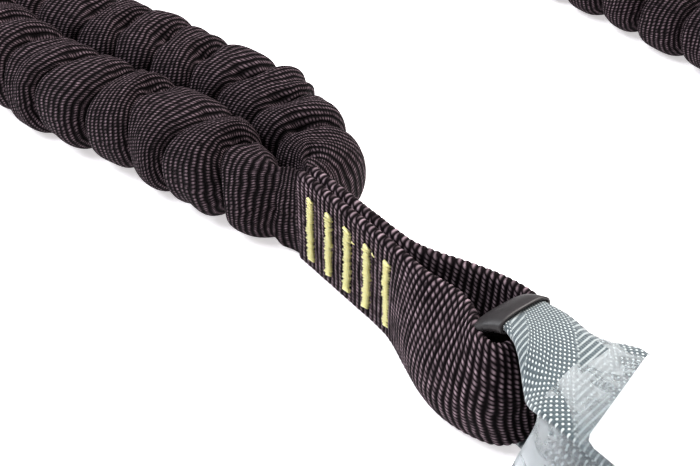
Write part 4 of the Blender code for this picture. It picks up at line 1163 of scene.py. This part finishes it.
def face_groove(side):
    """A round bar along the middle of the shank and the basket, whose cut leaves the forging's groove."""
    path = [(30, 0), (48, -0.5), (62, 0), (74, 14), (86, 24), (100, 32.5), (120, 38.2), (142, 39.4)]
    path += arc((BASKET_U, 0), BASKET + HOOK_BAR / 2, 90, -62, 16)
    line = smooth_line(path, 3.0)[0]
    radii = [float(ease(min(i, len(line) - 1 - i), -1.0, 5.0)) for i in range(len(line))]
    points = [(x * MM, y * MM, side * (HOOK_HALF + 1.7 * MM)) for x, y in line]
    return tube_mesh("groove", points, 3.3 * MM, 16, ZINC_STEEL, radii)


def make_hook(letter):
    body_name = f"hook_{letter}"
    pivot = PIVOTS[f"{body_name}_swing"]
    gate_at = PIVOTS[f"{body_name}_gate_hinge"] - pivot
    lever_at = PIVOTS[f"{body_name}_lever_hinge"] - pivot
    slot_half = 3.3 * MM
    body = plate(f"forged_{body_name}", rounded(hook_outline((gate_at.x / MM, gate_at.y / MM))), -HOOK_HALF, HOOK_HALF,
                 2.4 * MM, FORGED_ALUMINIUM, 4)
    opening = [(-9, -15.5), (14, -15.5)] + arc((14, -11.5), 4, -90, 0, 5) + arc((14, 11.5), 4, 0, 90, 5)
    window = plate("window", opening + [(14, 15.5), (-9, 15.5)], -9 * MM, 9 * MM, 0, ZINC_STEEL)
    bar = rod("bar", 4 * MM, -18 * MM, 18 * MM)
    bar.data.transform(Matrix.Rotation(math.pi / 2, 4, "X"))
    gate_slot = block("gate_slot", (gate_at.x - 9.5 * MM, gate_at.y - 12 * MM, -slot_half),
                      (gate_at.x + 12 * MM, gate_at.y + 11 * MM, slot_half))
    lever_slot = block("lever_slot", (lever_at.x - 36 * MM, lever_at.y - 10 * MM, -slot_half),
                       (lever_at.x + 11 * MM, lever_at.y + 24 * MM, slot_half))
    steps = [("DIFFERENCE", face_groove(1)), ("DIFFERENCE", face_groove(-1)), ("DIFFERENCE", window), ("UNION", bar)]
    steps += [("DIFFERENCE", gate_slot), ("DIFFERENCE", lever_slot)]
    for place in (gate_at, lever_at):
        steps.append(("DIFFERENCE", moved(rod("hole", 2.8 * MM, -9 * MM, 9 * MM), place)))
    placed(combined(body, *steps), pivot, body_name, f"{body_name}_body")
    for part, place in (("gate", gate_at), ("lever", lever_at)):
        head = [(0, -7.5), (2.6, -7.4), (4.0, -7.0), (4.9, -6.35), (2.5, -6.3), (2.5, 6.3), (4.9, 6.35), (4.0, 7.0)]
        rivet = crisp(turned(f"{body_name}_{part}_domed_rivet", head + [(2.6, 7.4), (0, 7.5)], 32, ZINC_STEEL))
        placed(rivet, pivot + place, body_name, f"{body_name}_{part}_rivet")
        coil_spring(f"{body_name}_{part}_coil", f"{body_name}_{part}_spring", body_name, 0.45 * MM)
    make_hook_gate(body_name, pivot + gate_at)
    make_hook_lever(body_name, pivot + lever_at)


def make_hook_gate(body_name, place):
    tip = (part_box(f"{body_name}_gate")[1].x - place.x) / MM
    shape = [(10.5, -4.5), (tip - 0.8, -6.6), (tip, -5.8), (tip, 0.7), (tip - 0.8, 1.5), (30, 3.4), (10.5, 4.5)]
    gate = plate(f"{body_name}_steel_gate", shape, -5 * MM, 5 * MM, 1.3 * MM, ZINC_STEEL)
    flat = arc((0, 0), 6, 90, 270, 16) + [(14, -4), (14, 4)]
    tongue = plate("tongue", flat, -3 * MM, 0.3 * MM, 0.3 * MM, ZINC_STEEL, 1)
    hole = rod("hole", 2.8 * MM, -9 * MM, 9 * MM)
    combined(gate, ("UNION", tongue), ("DIFFERENCE", hole))
    placed(gate, place, f"{body_name}_gate", f"{body_name}_gate")


def make_hook_lever(body_name, place):
    pad = [(-32, 4.6), (-28.5, 8.8), (-24, 10.4), (-18, 11), (-8, 10), (1, 8.2), (6, 4), (6.3, -1), (3, -5.3)]
    pad += [(-3, -5.3), (-12, -3.2), (-18, -3.0), (-24, -3.5), (-30.5, -2.4), (-32, 1)]
    lever = plate(f"{body_name}_safety_lever", rounded(pad, 1.5), -3 * MM, 3 * MM, 0.7 * MM, ZINC_STEEL)
    room = block("room", (-8 * MM, -9 * MM, 0.3 * MM), (12 * MM, 14 * MM, 9 * MM))
    grips = [("DIFFERENCE", room), ("DIFFERENCE", rod("hole", 2.8 * MM, -9 * MM, 9 * MM))]
    for i in range(5):
        notch = rod("notch", 0.7 * MM, -9 * MM, 9 * MM, 12)
        grips.append(("DIFFERENCE", moved(notch, ((-26 + 3 * i) * MM, (10.9 + 0.12 * i) * MM, 0))))
    combined(lever, *grips)
    placed(lever, place, f"{body_name}_lever", f"{body_name}_lever")


for letter in "ab":
    make_hook(letter)
print("two hooks of seven pieces")

# %% [markdown]
# ## Elastic cores
# Inside each leg a round bundle of rubber threads in a black knitted skin pulls the webbing together. It only shows
# where a gather opens, so it keeps the shape of the frame's part and gets a dark, finely knitted finish.

# %% Cores
core_finish, core_tree, core_shader = new_material("knitted_elastic_cord", 0.75)
core_place = add(core_tree, "TexCoord").outputs["Object"]
core_knit = add(core_tree, "TexNoise", Vector=core_place, Scale=1500.0, Detail=2.0)
two_tone(core_tree, core_shader, core_knit, colour("#080607"), colour("#171314"))
relief(core_tree, core_shader, core_knit, 0.2 * MM)
for letter in "ab":
    core = frame["nodes"][f"leg_{letter}_elastic"]
    core.data.materials.clear()
    core.data.materials.append(core_finish)
print("elastic cores finished")

for leg, line, length, letter in ((leg_a, LINE_A, LENGTH_A, "a"), (leg_b, LINE_B, LENGTH_B, "b")):
    core = frame["nodes"][f"leg_{letter}_elastic"]
